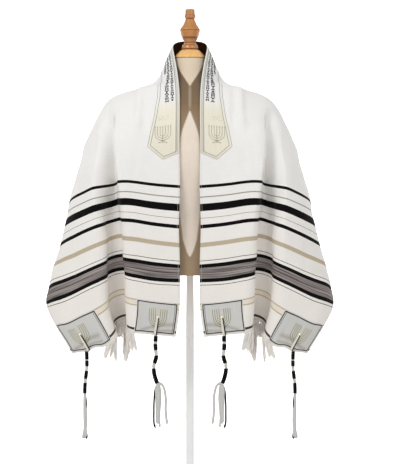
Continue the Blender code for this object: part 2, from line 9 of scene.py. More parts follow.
import functools
import json
import math
from collections import namedtuple

import bmesh
import bpy
import numpy as np
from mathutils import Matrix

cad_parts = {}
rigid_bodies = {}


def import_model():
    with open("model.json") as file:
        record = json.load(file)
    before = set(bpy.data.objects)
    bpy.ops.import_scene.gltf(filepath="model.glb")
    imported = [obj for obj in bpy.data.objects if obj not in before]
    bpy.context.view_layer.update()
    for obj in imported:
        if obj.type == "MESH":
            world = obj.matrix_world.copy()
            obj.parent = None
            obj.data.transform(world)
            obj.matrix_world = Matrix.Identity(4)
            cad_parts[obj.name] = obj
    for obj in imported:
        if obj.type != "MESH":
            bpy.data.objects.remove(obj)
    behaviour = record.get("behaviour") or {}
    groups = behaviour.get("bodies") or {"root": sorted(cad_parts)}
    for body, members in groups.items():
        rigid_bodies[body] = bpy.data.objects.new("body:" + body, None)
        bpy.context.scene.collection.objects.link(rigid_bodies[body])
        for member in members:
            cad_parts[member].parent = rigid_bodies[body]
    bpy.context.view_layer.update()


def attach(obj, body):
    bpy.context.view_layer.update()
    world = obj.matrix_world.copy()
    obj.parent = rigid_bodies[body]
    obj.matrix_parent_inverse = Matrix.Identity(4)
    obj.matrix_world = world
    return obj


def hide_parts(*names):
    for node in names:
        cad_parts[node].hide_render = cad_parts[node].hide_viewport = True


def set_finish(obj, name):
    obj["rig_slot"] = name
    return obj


bl_info = {
    "name": "Tallit on a dress form",
    "version": (1, 0, 0),
    "blender": (4, 5, 0),
    "location": "View3D > Sidebar > Tallit",
    "description": "Makes a striped prayer shawl with its band, corner squares and tassels, on a dress form",
    "category": "Add Mesh",
}

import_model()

MM = 0.001
BODY = "root"
SIDES = ((1, "left"), (-1, "right"))

# The shawl's cut, as the solids have it.
CLOTH_WIDTH = 546
CLOTH_HALF_LENGTH = 991
# How near to the form the cloth may lie, how softly it comes to rest there, and below which height it does.
FORM_CLEARANCE = 4.3
REST_SOFTNESS = 3
REST_TOP = 1530
REST_FADE = 45
# The corner squares and their eyelets, by the distances along and across.
PATCH_TOP = 889
PATCH_BOTTOM = 985
EYELET_ALONG = 937
Patch = namedtuple("Patch", "place near far eyelet")
PATCHES = (Patch("inner", 6, 134, 66), Patch("outer", 399, 540, 480.5))

# Where the cloth lies: a row for each section across it, with six guide points from the neck edge out.
Section = namedtuple("Section", "along neck collar shoulder side flank outer")
SECTIONS = [Section(*row) for row in (
    (0, (0, 58, 1585), (0, 70, 1500), (0, 112, 1418),
     (0, 128, 1264), (0, 131, 1164), (0, 130, 1056)),
    (58, (-46, 25, 1575), (-73, 44, 1497), (-80, 98, 1419),
     (-77, 130, 1265), (-68, 137, 1162), (-58, 140, 1054)),
    (115, (-49, -25, 1543), (-91, 10, 1475), (-140, 70, 1425),
     (-152, 126, 1274), (-136, 138, 1168), (-116, 143, 1058)),
    (177, (-39, -56, 1491), (-101, -20, 1443), (-186, 28, 1429),
     (-232, 102, 1318), (-208, 134, 1198), (-178, 148, 1072)),
    (255, (-31, -82, 1420), (-108, -58, 1399), (-202, -28, 1409),
     (-286, 56, 1325), (-280, 115, 1215), (-245, 147, 1088)),
    (354, (-30, -119, 1327), (-121, -110, 1318), (-205, -102, 1324),
     (-308, -10, 1274), (-322, 72, 1215), (-296, 140, 1100)),
    (450, (-30, -131, 1231), (-124, -130, 1234), (-204, -133, 1240),
     (-321, -56, 1202), (-344, 32, 1158), (-334, 120, 1080)),
    (541, (-29, -133, 1141), (-122, -135, 1149), (-203, -143, 1156),
     (-332, -80, 1117), (-363, 5, 1088), (-364, 92, 1020)),
    (660, (-32, -133, 1024), (-120, -140, 1034), (-203, -146, 1043),
     (-342, -96, 996), (-389, -18, 965), (-396, 62, 910)),
    (778, (-29, -133, 907), (-119, -140, 916), (-205, -146, 925),
     (-349, -105, 873), (-411, -54, 849), (-426, 6, 828)),
    (823, (-29, -133, 864), (-119, -140, 870), (-207, -146, 881),
     (-351, -108, 826), (-402, -77, 807), (-429, -36, 795)),
    (886, (-29, -132, 799), (-119, -140, 808), (-209, -146, 814),
     (-348, -112, 751), (-381, -97, 740), (-401, -78, 734)),
    (991, (-42, -130, 698), (-122, -138, 706), (-196, -142, 706),
     (-292, -126, 661), (-322, -111, 653), (-348, -95, 647)),
)]
GUIDE_ACROSS = (0, 90, 185, 340, 440, 546)

# The box pleat down each front: its depth, how far its lips overlap and its rise, between two shares of the
# width. A lean under one moves its deepest line towards its start.
Pleat = namedtuple("Pleat", "along depth overlap rise start end lean")
PLEATS = [Pleat(*row) for row in (
    (0, 0, 0, 0, 0.385, 0.5, 0.8), (290, 0, 0, 0, 0.385, 0.5, 0.8), (354, 32, 0, 3, 0.385, 0.51, 0.66),
    (450, 54, 0, 5, 0.38, 0.515, 0.66), (541, 73, 0, 7, 0.355, 0.51, 0.7),
    (600, 76, 3, 6, 0.33, 0.505, 0.8), (660, 72, 7, 6, 0.305, 0.495, 0.9),
    (778, 63, 14, 14, 0.265, 0.48, 1), (823, 66, 14, 17, 0.255, 0.472, 1),
    (886, 78, 15, 26, 0.25, 0.462, 1), (991, 92, 16, 36, 0.25, 0.458, 1),
)]

# The hem dips beside the pleat: how far, the share of the width where it does, and over which rows it starts.
HEM_DIP = 14
DIP_PLACE = 0.475
DIP_WIDTH = 0.065
DIP_FROM = 830
DIP_OVER = 160

# The flutes of the back and the sides: how far across each starts, its half width and its rise at the edge.
Flute = namedtuple("Flute", "along start half_width rise")
FLUTES = [Flute(*row) for row in (
    (0, 300, 40, -9), (68, 250, 36, 14), (135, 300, 34, -11), (200, 220, 38, 16), (268, 290, 36, -12),
    (335, 230, 40, 9), (415, 340, 40, -11), (498, 350, 42, 10), (590, 400, 44, -8),
)]

# Soft creases and ridges: from one place on the cloth to another, with a half width and a
# height, below zero for a trough. Side 0 is both fronts.
Crease = namedtuple("Crease", "side from_along from_across to_along to_across half_width height")
CREASES = [Crease(*row) for row in (
    (0, 150, 76, 430, 84, 8, 3), (0, 190, 90, 400, 98, 8, -1), (0, 170, 110, 400, 118, 12, 12),
    (0, 285, 214, 352, 172, 11, -2), (0, 290, 240, 380, 216, 14, 3), (0, 400, 176, 560, 178, 6, -2.2),
    (0, 350, 188, 520, 196, 7, 2.2), (0, 380, 148, 540, 150, 8, -1.4), (0, 400, 118, 560, 119, 8, -1.2),
    (0, 560, 262, 700, 252, 18, -3), (0, 215, 118, 345, 108, 11, -3), (0, 262, 150, 350, 132, 16, 1.6),
    (0, 300, 196, 395, 176, 10, -1.6), (0, 330, 160, 560, 158, 12, 1.2), (0, 380, 120, 640, 126, 9, -1),
    (0, 500, 36, 760, 30, 13, -1.2), (0, 470, 70, 700, 76, 14, 1.1), (0, 700, 84, 880, 96, 10, 1),
    (0, 330, 262, 470, 300, 20, -3.4), (0, 420, 300, 640, 322, 17, 2.2), (0, 640, 372, 860, 396, 14, -1.8),
    (0, 560, 430, 800, 470, 18, 2), (1, 40, 150, 95, 420, 15, -2.6), (1, 150, 170, 110, 460, 18, 2.4),
    (1, 20, 120, 12, 330, 12, 1.6), (1, 235, 250, 180, 500, 17, -2.2), (-1, 70, 140, 60, 440, 17, 2.4),
    (-1, 120, 200, 160, 480, 14, -2.6), (-1, 210, 180, 240, 470, 18, 2), (-1, 25, 260, 40, 500, 12, -1.8),
    (-1, 300, 300, 290, 520, 15, -2.2), (1, 320, 330, 350, 530, 16, 2.3),
)]

# Shallow waves all over the cloth: lengths along and across, a turn and a height.
Ripple = namedtuple("Ripple", "length_along length_across turn height")
RIPPLES = [Ripple(*row) for row in (
    (173, 241, 0.3, 0.55), (97, -163, 1.9, 0.35), (-61, 118, 4.1, 0.2), (310, 74, 2.6, 0.3),
)]
# Creases and waves fade towards the middle of the back and the neck edge: where from, over how much, and how
# much of them is left there.
CALM_ALONG = (60, 160)
CALM_ACROSS = (8, 40)
CALM_LEAST = 0.25

# The dress form: a row for each level.
Level = namedtuple("Level", "height half_width front back")
FORM_LEVELS = [Level(*row) for row in (
    (879, 184, 114, 106), (920, 181, 112, 102), (980, 172, 108, 94), (1050, 166, 106, 88),
    (1120, 178, 116, 98), (1200, 202, 127, 110), (1250, 219, 127, 114), (1300, 232, 120, 113),
    (1340, 237, 111, 108), (1368, 236, 102, 102), (1391, 228, 92, 96), (1407, 208, 82, 90),
    (1420, 184, 74, 84), (1434, 154, 67, 78), (1444, 118, 62, 72), (1452, 84, 58, 66), (1468, 58, 54, 60),
    (1490, 50, 50, 52), (1528, 46, 46, 46),
)]

# The cloth's mesh: rows along it, and columns across it in three groups.
BACK_REACH = 350
BACK_ROWS = 44
FRONT_ROWS = 134
NECK_STEPS = 35
PLEAT_STEPS = 46
EDGE_STEPS = 50

# Woven stripes: (distance from the cloth's end, width, colour's name).
Stripe = namedtuple("Stripe", "distance width colour")
STRIPES = [Stripe(*row) for row in (
    (13.5, 8.5, "slate"), (84, 3.2, "gold"), (92, 12.8, "pale_gold"), (100, 3.2, "gold"),
    (154, 2.6, "slate"), (168, 10.5, "black"), (190.25, 34, "heather"), (191, 3.4, "slate"),
    (212.5, 10.5, "black"), (228, 2.6, "slate"), (275.5, 13.5, "gold_band"), (329.5, 10, "black"),
    (354.3, 3, "grey"), (386.4, 22.5, "black"), (417.3, 3, "grey"), (450.3, 10, "black"),
)]
STRIPE_SPAN = 470

# The band's two edges, as (along, across) points: it is drawn in beside the neck and pointed at its ends.
BAND_NEAR = ((0, 0), (440, 0), (461, 45))
BAND_FAR = (
    (0, 90), (88, 84), (149, 73), (215, 60), (258, 62), (289, 68), (340, 75), (374, 81), (420, 88), (461, 45),
)
# Woven lines along its neck edge and a thin painted shadow line along its outer edge, as (distance, width),
# and where its ground turns from white to cream.
NEAR_LINES = ((4.6, 1.3), (10.2, 1.3))
FAR_EDGE_SHADOW = ((1, 0.9),)
# Its margins outside the border stay white: where they end, as distances from the edge.
MARGIN_FROM = 5.6
MARGIN_TO = 8.4
BAND_CREAM_FROM = 252
BAND_CREAM_TO = 318
BORDER_INSET = 8
# Rows of woven figures: where each lies and ends, from figure to figure, and the figures' length and width.
# Then where they start, and how far they lie above the band and how deep they are.
MotifRow = namedtuple("MotifRow", "across end step length width")
MOTIF_ROWS = [MotifRow(*row) for row in (
    (20, 280, 9.2, 8.6, 10), (35, 284, 9.8, 9.2, 12), (50.5, 150, 9.2, 8.6, 10),
)]
MOTIF_FROM = 8
MOTIF_LIFT = 0.15
MOTIF_DEPTH = 0.7
# The faint scroll over each lamp, and the dark brown patch inside the back of the neck, in metres: where
# each starts and ends.
BROCADE_FROM = (0.318, 0.324)
BROCADE_TO = (0.334, 0.34)
BROCADE_ACROSS = 0.045
BROCADE_HALF = (0.014, 0.019)
NECK_BROWN_ALONG = (0.118, 0.15)
NECK_BROWN_ACROSS = (0.078, 0.092)

# The seven-branched lamp near each point of the band: its centre, the radii of its arms, how far their tops
# and the stem reach from it, and the foot's half width. Then the arcs on the squares, and how far out lie the
# dark olive threads beside them, which are painted shadow.
LAMP_ALONG = 379
LAMP_ACROSS = 45.7
LAMP_ARMS = (7.5, 14.5, 21.5)
LAMP_TOP = 22
LAMP_STEM = 27
LAMP_FOOT = 12.5
# Its cups' half width and where the flames over them start and end, then the two bars of its foot: how far
# each lies above the stem's end, its share of the half width and how far its ends turn down.
LAMP_CUP = 1.7
LAMP_FLAME = (1.4, 3.6)
LAMP_BARS = ((4.5, 0.55, -2.4), (0, 1, 2.4))
PATCH_ARMS = (5.6, 12.2, 18.8, 25.4)
PATCH_ARM_TOP = 27
PATCH_ARM_SHADOW = 1.8
# Threads laid on the cloth, as (width, height), and how far they lie above the band and the squares.
BORDER_THREAD = (1.3, 0.9)
ARM_THREAD = (1.1, 0.8)
STEM_THREAD = (1.3, 0.9)
CUP_THREAD = (1, 0.8)
FOOT_THREAD = (1.5, 0.9)
ARC_THREAD = (1.7, 0.9)
# Dark olive threads beside the gold arcs, which stand for their shadow.
ARC_SHADOW_THREAD = (1.2, 0.9)
HEADING_THREAD = (3, 2.2)
BAND_THREAD_LIFT = 0.35
PATCH_THREAD_LIFT = 0.3

# The tzitzit: a row for each one on the left. Each head's middle line goes by (share of its length, shift
# towards the centre) points, its windings lie between shares of it, and each strand goes by (towards the
# centre, forward, below the head) points.
Tassel = namedtuple("Tassel", "place across top_shift drop head_length girth")
TASSELS = (Tassel("inner", 66, -2.2, 2.6, 143, 1), Tassel("outer", 480.5, 8.5, 1, 127, 0.9))
HEAD_SWAYS = {
    "inner": ((0, 0), (0.14, -1), (0.3, 0), (0.43, 1.5), (0.58, -5), (0.7, -6), (0.84, -2.5), (1, 6)),
    "outer": ((0, 0), (0.25, 0.8), (0.4, 0.5), (0.55, -1.5), (0.75, -4.5), (1, -5.5)),
}
WINDINGS = {
    "inner": ((0, 0.115), (0.165, 0.29), (0.402, 0.563), (0.67, 0.975)),
    "outer": ((0.02, 0.2), (0.238, 0.36), (0.472, 0.657), (0.75, 0.995)),
}
Strand = namedtuple("Strand", "dark radius path")
STRANDS = {place: [Strand(*row) for row in rows] for place, rows in {
    "inner": (
        (False, 2.9, ((-1, -2, -6), (-6, -3, 15), (-4.6, -3, 44), (-3.2, -3, 113))),
        (False, 2.9, ((0, -3, -6), (-2.4, -4, 15), (-1, -4, 44), (0, -4, 116))),
        (False, 2.9, ((1, -3, -6), (1.4, -4, 14), (2.6, -4, 44), (2.6, -4, 112))),
        (False, 2.9, ((2, -2, -6), (4.6, -3, 13), (6, -3, 44), (3.6, -2, 90), (6.4, -2, 126))),
        (False, 2.9, ((3, -1, -6), (7.2, -1, 13), (8.7, -1, 44), (5.8, -1, 74), (3.8, 0, 113))),
        (False, 3.9, ((2, 0, -6), (14, 0, -1), (19, 0, 12), (22, 0, 26), (24, 0, 44), (22.7, 0, 74),
             (25.6, 0, 103), (27.7, 0, 116))),
        (True, 2.7, ((0, 2, -6), (-6, 2, 8), (-9.6, -1, 20), (-11.5, -2, 59), (-11.8, -2, 114),
             (-7, -2, 128))),
        (False, 2.9, ((0, 2, -6), (1, 2, 15), (2, 2, 44), (1, 2, 110))),
    ),
    "outer": (
        (False, 2.3, ((-1, -1, -6), (-2.4, -2, 14), (-2.4, -2, 60), (-1.2, -2, 100), (-6.5, -1, 132))),
        (False, 2.3, ((0, -2, -6), (0.4, -3, 14), (0.2, -3, 60), (0.6, -3, 104), (-2.4, -2, 132))),
        (False, 2.3, ((1, -2, -6), (3.2, -2, 14), (3, -2, 50), (2.8, -3, 104), (1.6, -2, 132))),
        (False, 2.3, ((1, -1, -6), (4.6, -1, 14), (5, -1, 50), (6.2, -1, 82), (3.6, -1, 108),
             (5.4, -1, 130))),
        (False, 2.3, ((0, 1, -6), (-1, 1, 14), (1, 1, 60), (3, 1, 104), (9, 0, 130))),
        (True, 2.2, ((1, 2, -6), (4.8, -2.8, 20), (5, -2.8, 34), (2, 2, 60), (1.5, 2, 100),
             (5.6, -2, 134))),
        (False, 2.3, ((0, 2, -6), (0, 2, 14), (0, 2, 60), (0, 2, 104), (-1, 2, 131))),
        (False, 2.3, ((0, 2, -6), (2.4, 1, 14), (3, 2, 60), (2, 2, 104), (3, 1, 131))),
    ),
}.items()}
# How far the head's core lies inside its windings, and how far apart these are, in their own radii.
CORE_INSET = 2.6
WINDING_PITCH = 2.02
# Knots on the heads: their places as shares of the length, their size, their cord's radius, and the two
# turns of each, as (turn, shift up). Then the knots at the strands' tips.
HEAD_KNOTS = {"inner": (0.14, 0.34, 0.615), "outer": (0.215, 0.415, 0.705)}
HEAD_KNOT = 5.4
HEAD_KNOT_CORD = 1.4
HEAD_KNOT_TURNS = ((0.4, -1.6), (1.5, 1.9))
TIP_KNOT = 3.2
TIP_KNOT_CORD = 1.1

# The fringe between the squares: where its heading lies, how full its locks are beside their own width, how
# far they sway and how late they drift, and a row for each lock on the left.
FRINGE_FROM = 138
FRINGE_TO = 410
LOCK_FULLNESS = 0.62
LOCK_SWAY = 2.2
LOCK_DRIFT = 1.2
Lock = namedtuple("Lock", "across width length sideways forward")
LOCKS = [Lock(*row) for row in (
    (142, 14, 52, -14, -4), (155, 14, 56, -10, -4), (170, 13, 60, -2, -2), (186, 14, 74, -6, -4),
    (203, 18, 76, 2, -20), (220, 20, 112, 13, -36), (237, 22, 116, 14, -44), (255, 20, 110, 1, -40),
    (273, 24, 46, -2, -48), (291, 24, 38, -6, -50), (309, 22, 36, 2, -44), (327, 14, 50, 2, -6),
    (345, 13, 88, 1, -2), (362, 13, 72, 5, -2), (378, 13, 58, 15, -2), (394, 13, 50, 20, -2),
    (407, 12, 45, 13, -2),
)]

# Turned pieces: (radius, height above the foot) pairs down the outer side.
CAP_PROFILE = ((26, 26.8), (45.4, 6.6), (46.8, 4.2), (46.8, 1.2), (45.6, 0))
CAP_FOOT = 1528.4
FINIAL_PROFILE = (
    (14.4, 121), (15, 104.6), (17.4, 100.1), (17.4, 95.1), (14, 92.6), (14.2, 89.6), (20, 75.6),
    (30.6, 60.6), (30.6, 54.6), (26.5, 38.6), (18.3, 24.6), (18, 15.6), (22.8, 12.6), (27, 0),
)
FINIAL_FOOT = 1555.4
BASE_PROFILE = ((22, 46), (26, 26), (60, 20), (150, 13), (172, 9), (175, 0))
POLE_RADIUS = 12.5
POLE_FOOT = 46.3
POLE_TOP = 878.7

# The form's cover: (height, half width) of its two beige panels, the darker cloth's tones, and the seam at
# the chest, in metres. The darker cloth is partly the cover's own tone and partly painted shadow of the
# shawl's edges, and its tones darken towards the neck as painted shade under the collar.
COVER_LOW = 900
COVER_HIGH = 1540
COVER_WIDEST = 60
COVER_V = ((900, 0), (1440, 0), (1448, 4), (1482, 26), (1527, 49), (1540, 52))
COVER_SPINDLE = (
    (900, 0), (932, 0), (949, 9), (967, 15), (984, 20.5), (1014, 24), (1055, 29), (1160, 34), (1268, 29),
    (1291, 26.5), (1309, 22), (1327, 16), (1345, 9), (1362, 3), (1372, 0), (1540, 0),
)
COVER_TONES_AND_SHADE = ((1300, "cover_low"), (1390, "cover"), (1450, "cover_high"))
SEAM_FROM = (1.36, 1.39)
SEAM_TO = (1.43, 1.46)
SEAM_HALF = (0.0015, 0.007)

# Grooves that hold darker varnish: (height above the floor, half width). The finial's broad band at 1590 is
# no groove but painted shade under its bulb.
CAP_GROOVES = ((1528.6, 1.8),)
FINIAL_GROOVES_AND_SHADE = (
    (1646.5, 2.2), (1658, 1.4), (1613, 1.6), (1590, 5), (1576, 2.2), (1568, 1.2), (1557, 1.2),
)

# How high the band and the squares lie on the cloth, how thick they are, and the steps of their meshes.
BAND_LIFT = 1.5
BAND_WALL = 1.1
EDGE_DROP = 0.7
BAND_ROWS = 152
BAND_COLUMNS = 44
CORNER_LIFT = 1.7
CORNER_WALL = 1.2
CORNER_STEP = 1.5
CORNER_FOLD_RISE = -1.4
EYELET_HOLE = 3.6
# Woven lines on a corner square, as (distance, width): round its edge, and beside its seam.
SQUARE_LINES = ((3.4, 3.1),)
SQUARE_SEAM_LINES = ((8.6, 1.1),)
SQUARE_MARGIN = 2
# Soft folds on a corner square from its eyelet, which lift its surface and carry painted warm shade: two
# (down, over) places and a half width.
CORNER_FOLDS = (
    ((41, 44), (28, 8), 5.5), ((23, -6), (17, -50), 7), ((40, -12), (36, -52), 5),
)
# Rows of stitches on the left, each between two (along, across) places, how far they lie off the cloth, how
# far inside the squares' and the band's edges, their length as a share of their step, and their radius.
STITCH_ROWS = (((200, 541), (880, 541)), ((986, 138), (986, 412)), ((460, 4.5), (885, 4.5)))
STITCH_LIFT = 0.15
STITCH_INSET = 1.3
BAND_STITCH_INSET = 1.6
STITCH_SHARE = 0.62
STITCH_RADIUS = 0.32

# The band's figures, each of blocks: (x, y, length, width, turn), in a cell one long and one wide.
MOTIF_FIGURES = (
    ((-0.22, 0, 0.26, 0.9, 0), (0.24, 0, 0.28, 0.9, 0)),
    ((-0.14, 0.22, 0.28, 0.62, 0.66), (-0.14, -0.22, 0.28, 0.62, -0.66), (0.3, 0, 0.24, 0.3, 0)),
    ((0, 0, 0.56, 0.56, 0.785),),
    ((0, 0.32, 0.76, 0.24, 0), (0, -0.32, 0.76, 0.24, 0), (0, 0, 0.26, 0.34, 0)),
    ((0.16, 0.22, 0.28, 0.62, -0.66), (0.16, -0.22, 0.28, 0.62, 0.66), (-0.3, 0, 0.24, 0.3, 0)),
)

# The loop that holds each tzitzit: its cords' places across it, from the free side, and which is dark. Then
# the points by which a cord leaves the head, as (share of its place across, back, up).
LOOP_CORDS = ((-3.4, False), (0, False), (3.2, True))
LOOP_ENDS = ((0.35, -1, -7), (0.55, -2.4, 0))
LOOP_RADIUS = 1.85
UNDER_EYELET = 963
# The tassels' tubes lie with their first side this way.
CROSSWISE = (1, 0, 0)

# Pieces that are sewn or tied to the cloth, by how their names begin.
SEWN = ("neck_band", "band_", "corner_", "stitching", "fringe_", "tzitzit_")

# The stage in metres: the sweep's half width, the start of its bend, the bend's radius, its top and between
# which depths it starts to glow, then what the lamps face, the places of the lamps and the camera, and the
# camera's lens in millimetres.
SWEEP_HALF = 12
SWEEP_BACK = 9
SWEEP_BEND = 1.2
SWEEP_TOP = 7
SWEEP_GLOW = (1.2, 2.2)
LAMPS_AIM = (0, 0, 1.1)
KEY_PLACE = (-2, -2.3, 3.6)
FILL_PLACE = (2.2, -2.4, 3.4)
CAMERA_PLACE = (0.030, -7.73, 1.008)
LENS = 200


def spline(stops, values, wanted):
    """A natural cubic spline through the values at the stops, read at the wanted places."""
    stops = np.asarray(stops, float)
    values = np.asarray(values, float)
    gaps = np.diff(stops)
    tall = (-1,) + (1,) * (values.ndim - 1)
    slopes = np.diff(values, axis=0) / gaps.reshape(tall)
    system = np.eye(len(stops))
    turns = np.zeros_like(values)
    for i in range(1, len(stops) - 1):
        system[i, i - 1 : i + 2] = gaps[i - 1], 2 * (gaps[i - 1] + gaps[i]), gaps[i]
        turns[i] = 6 * (slopes[i] - slopes[i - 1])
    bends = np.linalg.solve(system, turns.reshape(len(stops), -1)).reshape(values.shape)
    wanted = np.asarray(wanted, float)
    at = np.clip(np.searchsorted(stops, wanted) - 1, 0, len(stops) - 2)
    gap = gaps[at].reshape(tall)
    before = (stops[at + 1] - wanted).reshape(tall) / gap
    after = 1 - before
    bend = (before**3 - before) * bends[at] + (after**3 - after) * bends[at + 1]
    return before * values[at] + after * values[at + 1] + bend * gap**2 / 6


def unit(vectors):
    return vectors / np.maximum(np.linalg.norm(vectors, axis=-1, keepdims=True), 1e-9)


def ease(share):
    """Nought to one with a soft start and end."""
    share = np.clip(share, 0, 1)
    return share * share * (3 - 2 * share)


def bell(share):
    """One at nought, falling to near nought at two on both sides."""
    return np.exp(-(share**2))


def run(path):
    """The distance along a path at each of its points."""
    return np.concatenate([[0], np.cumsum(np.linalg.norm(np.diff(path, axis=0), axis=1))])


def read_rows(wanted, stops, rows):
    """Rows of values given at stops, read at the wanted places."""
    return np.stack([np.interp(wanted, stops, column) for column in np.transpose(rows)], -1)


def smoothed(path, rounds=2):
    """A path with its corners worn down, its ends kept."""
    path = np.array(path, float)
    for _ in range(rounds):
        path[1:-1] = (path[:-2] + 2 * path[1:-1] + path[2:]) / 4
    return path


FORM_TABLE = np.array(FORM_LEVELS, float)
FORM_HEIGHTS = np.linspace(FORM_TABLE[0, 0], FORM_TABLE[-1, 0], 220)
FORM_SIZES = spline(FORM_TABLE[:, 0], FORM_TABLE[:, 1:], FORM_HEIGHTS)


def form_reach(points):
    """How far points lie outside the form, as a share of its section there."""
    half_width, front, back = np.moveaxis(read_rows(points[..., 2], FORM_HEIGHTS, FORM_SIZES), -1, 0)
    depth = np.where(points[..., 1] < 0, front, back)
    return np.hypot(points[..., 0] / half_width, points[..., 1] / depth) - 1


def form_distance(points, probe=0.5):
    """The distance of points from the form, in millimetres, and the way straight out of it."""
    slopes = [
        (form_reach(points + step) - form_reach(points - step)) / (2 * probe) for step in np.eye(3) * probe
    ]
    slope = np.stack(slopes, -1)
    size = np.maximum(np.linalg.norm(slope, axis=-1), 1e-6)
    return form_reach(points) / size, slope / size[..., None]


def rest_on_form(points, rounds=6, most=12):
    """Points nearer to the form than the cloth can lie, moved straight out of it, with a soft start."""
    distance, _ = form_distance(points)
    over = np.clip((distance - FORM_CLEARANCE) / REST_SOFTNESS, -30, 30)
    wanted = np.maximum(FORM_CLEARANCE + REST_SOFTNESS * np.log1p(np.exp(over)), distance)
    wanted = distance + (wanted - distance) * ease((REST_TOP - points[..., 2]) / REST_FADE)
    for _ in range(rounds):
        distance, way = form_distance(points)
        points = points + way * np.clip(wanted - distance, 0, most)[..., None]
    return points


def pleat_at(distance):
    """The pleat's depth, overlap, rise, start, end and lean at a distance along the cloth."""
    return [np.interp(distance, *np.transpose([(row.along, row[i]) for row in PLEATS])) for i in range(1, 7)]


def draped(alongs, samples=241):
    """The cloth's outer face on the left: a row of points for each distance along, not yet cut to width."""
    mirrored = [(-s.along, [(-x, y, z) for x, y, z in s[1:]]) for s in SECTIONS[:0:-1]]
    rows = mirrored + [(s.along, s[1:]) for s in SECTIONS]
    guides = spline([along for along, _ in rows], np.array([points for _, points in rows], float), alongs)
    shares = np.linspace(0, 1, samples)
    points = spline(np.array(GUIDE_ACROSS) / CLOTH_WIDTH, np.moveaxis(guides, 1, 0), shares)
    points = np.moveaxis(points, 0, 1)
    sideways, outwards = ways_on(points, alongs)[:2]

    distance = np.abs(alongs)
    depth, overlap, rise, start, end, lean = (part[:, None, None] for part in pleat_at(distance))
    turn = np.clip((shares[None, :, None] - start) / (end - start), 0, 1) ** lean
    middle = (1 - np.cos(2 * np.pi * turn)) / 2
    points = points - outwards * depth * middle
    points = points + sideways * overlap * np.sin(4 * np.pi * turn) * np.sqrt(np.sin(np.pi * turn))
    points[..., 2] += (rise * middle)[..., 0]
    dipped = bell((shares - DIP_PLACE) / DIP_WIDTH)
    points[..., 2] -= HEM_DIP * dipped * ease((distance[:, None] - DIP_FROM) / DIP_OVER)

    for flute in FLUTES:
        for side in (1, -1) if flute.along else (1,):
            near = bell((alongs - side * flute.along) / flute.half_width)
            risen = ease((shares * CLOTH_WIDTH - flute.start) / (CLOTH_WIDTH - flute.start))
            points = points + outwards * (flute.rise * near[:, None] * risen)[..., None]
    return rest_on_form(points)


def ways_on(points, alongs):
    """Directions across the cloth and out of it, and along it, at each point of a grid."""
    sideways = unit(np.gradient(points, axis=1))
    lengthways = unit(np.gradient(points, alongs, axis=0))
    return sideways, unit(np.cross(sideways, lengthways)), lengthways


def off_line(along, across, start, end):
    """How far places lie from a straight line on the cloth, and how far down it they are, as a share."""
    line = np.subtract(end, start)
    down, over = along - start[0], across - start[1]
    share = (down * line[0] + over * line[1]) / (line @ line)
    nearest = np.clip(share, 0, 1)
    return np.hypot(down - nearest * line[0], over - nearest * line[1]), share


def crease_heights(along, across, fade=0.35):
    """How far the creases and ripples lift the cloth at each place, in millimetres."""
    height = np.zeros_like(along)
    for crease in CREASES:
        for side in (crease.side,) if crease.side else (1, -1):
            start = (side * crease.from_along, crease.from_across)
            off, share = off_line(along, across, start, (side * crease.to_along, crease.to_across))
            ends = ease(share / fade) * ease((1 - share) / fade)
            height += crease.height * bell(off / crease.half_width) * ends
    for ripple in RIPPLES:
        turn = along / ripple.length_along + across / ripple.length_across
        height += ripple.height * np.sin(2 * np.pi * turn + ripple.turn)
    calm = 1.0
    for distance, (start, over) in ((np.abs(along), CALM_ALONG), (across, CALM_ACROSS)):
        calm = calm * ease((distance - start) / over)
    return height * (CALM_LEAST + (1 - CALM_LEAST) * calm)


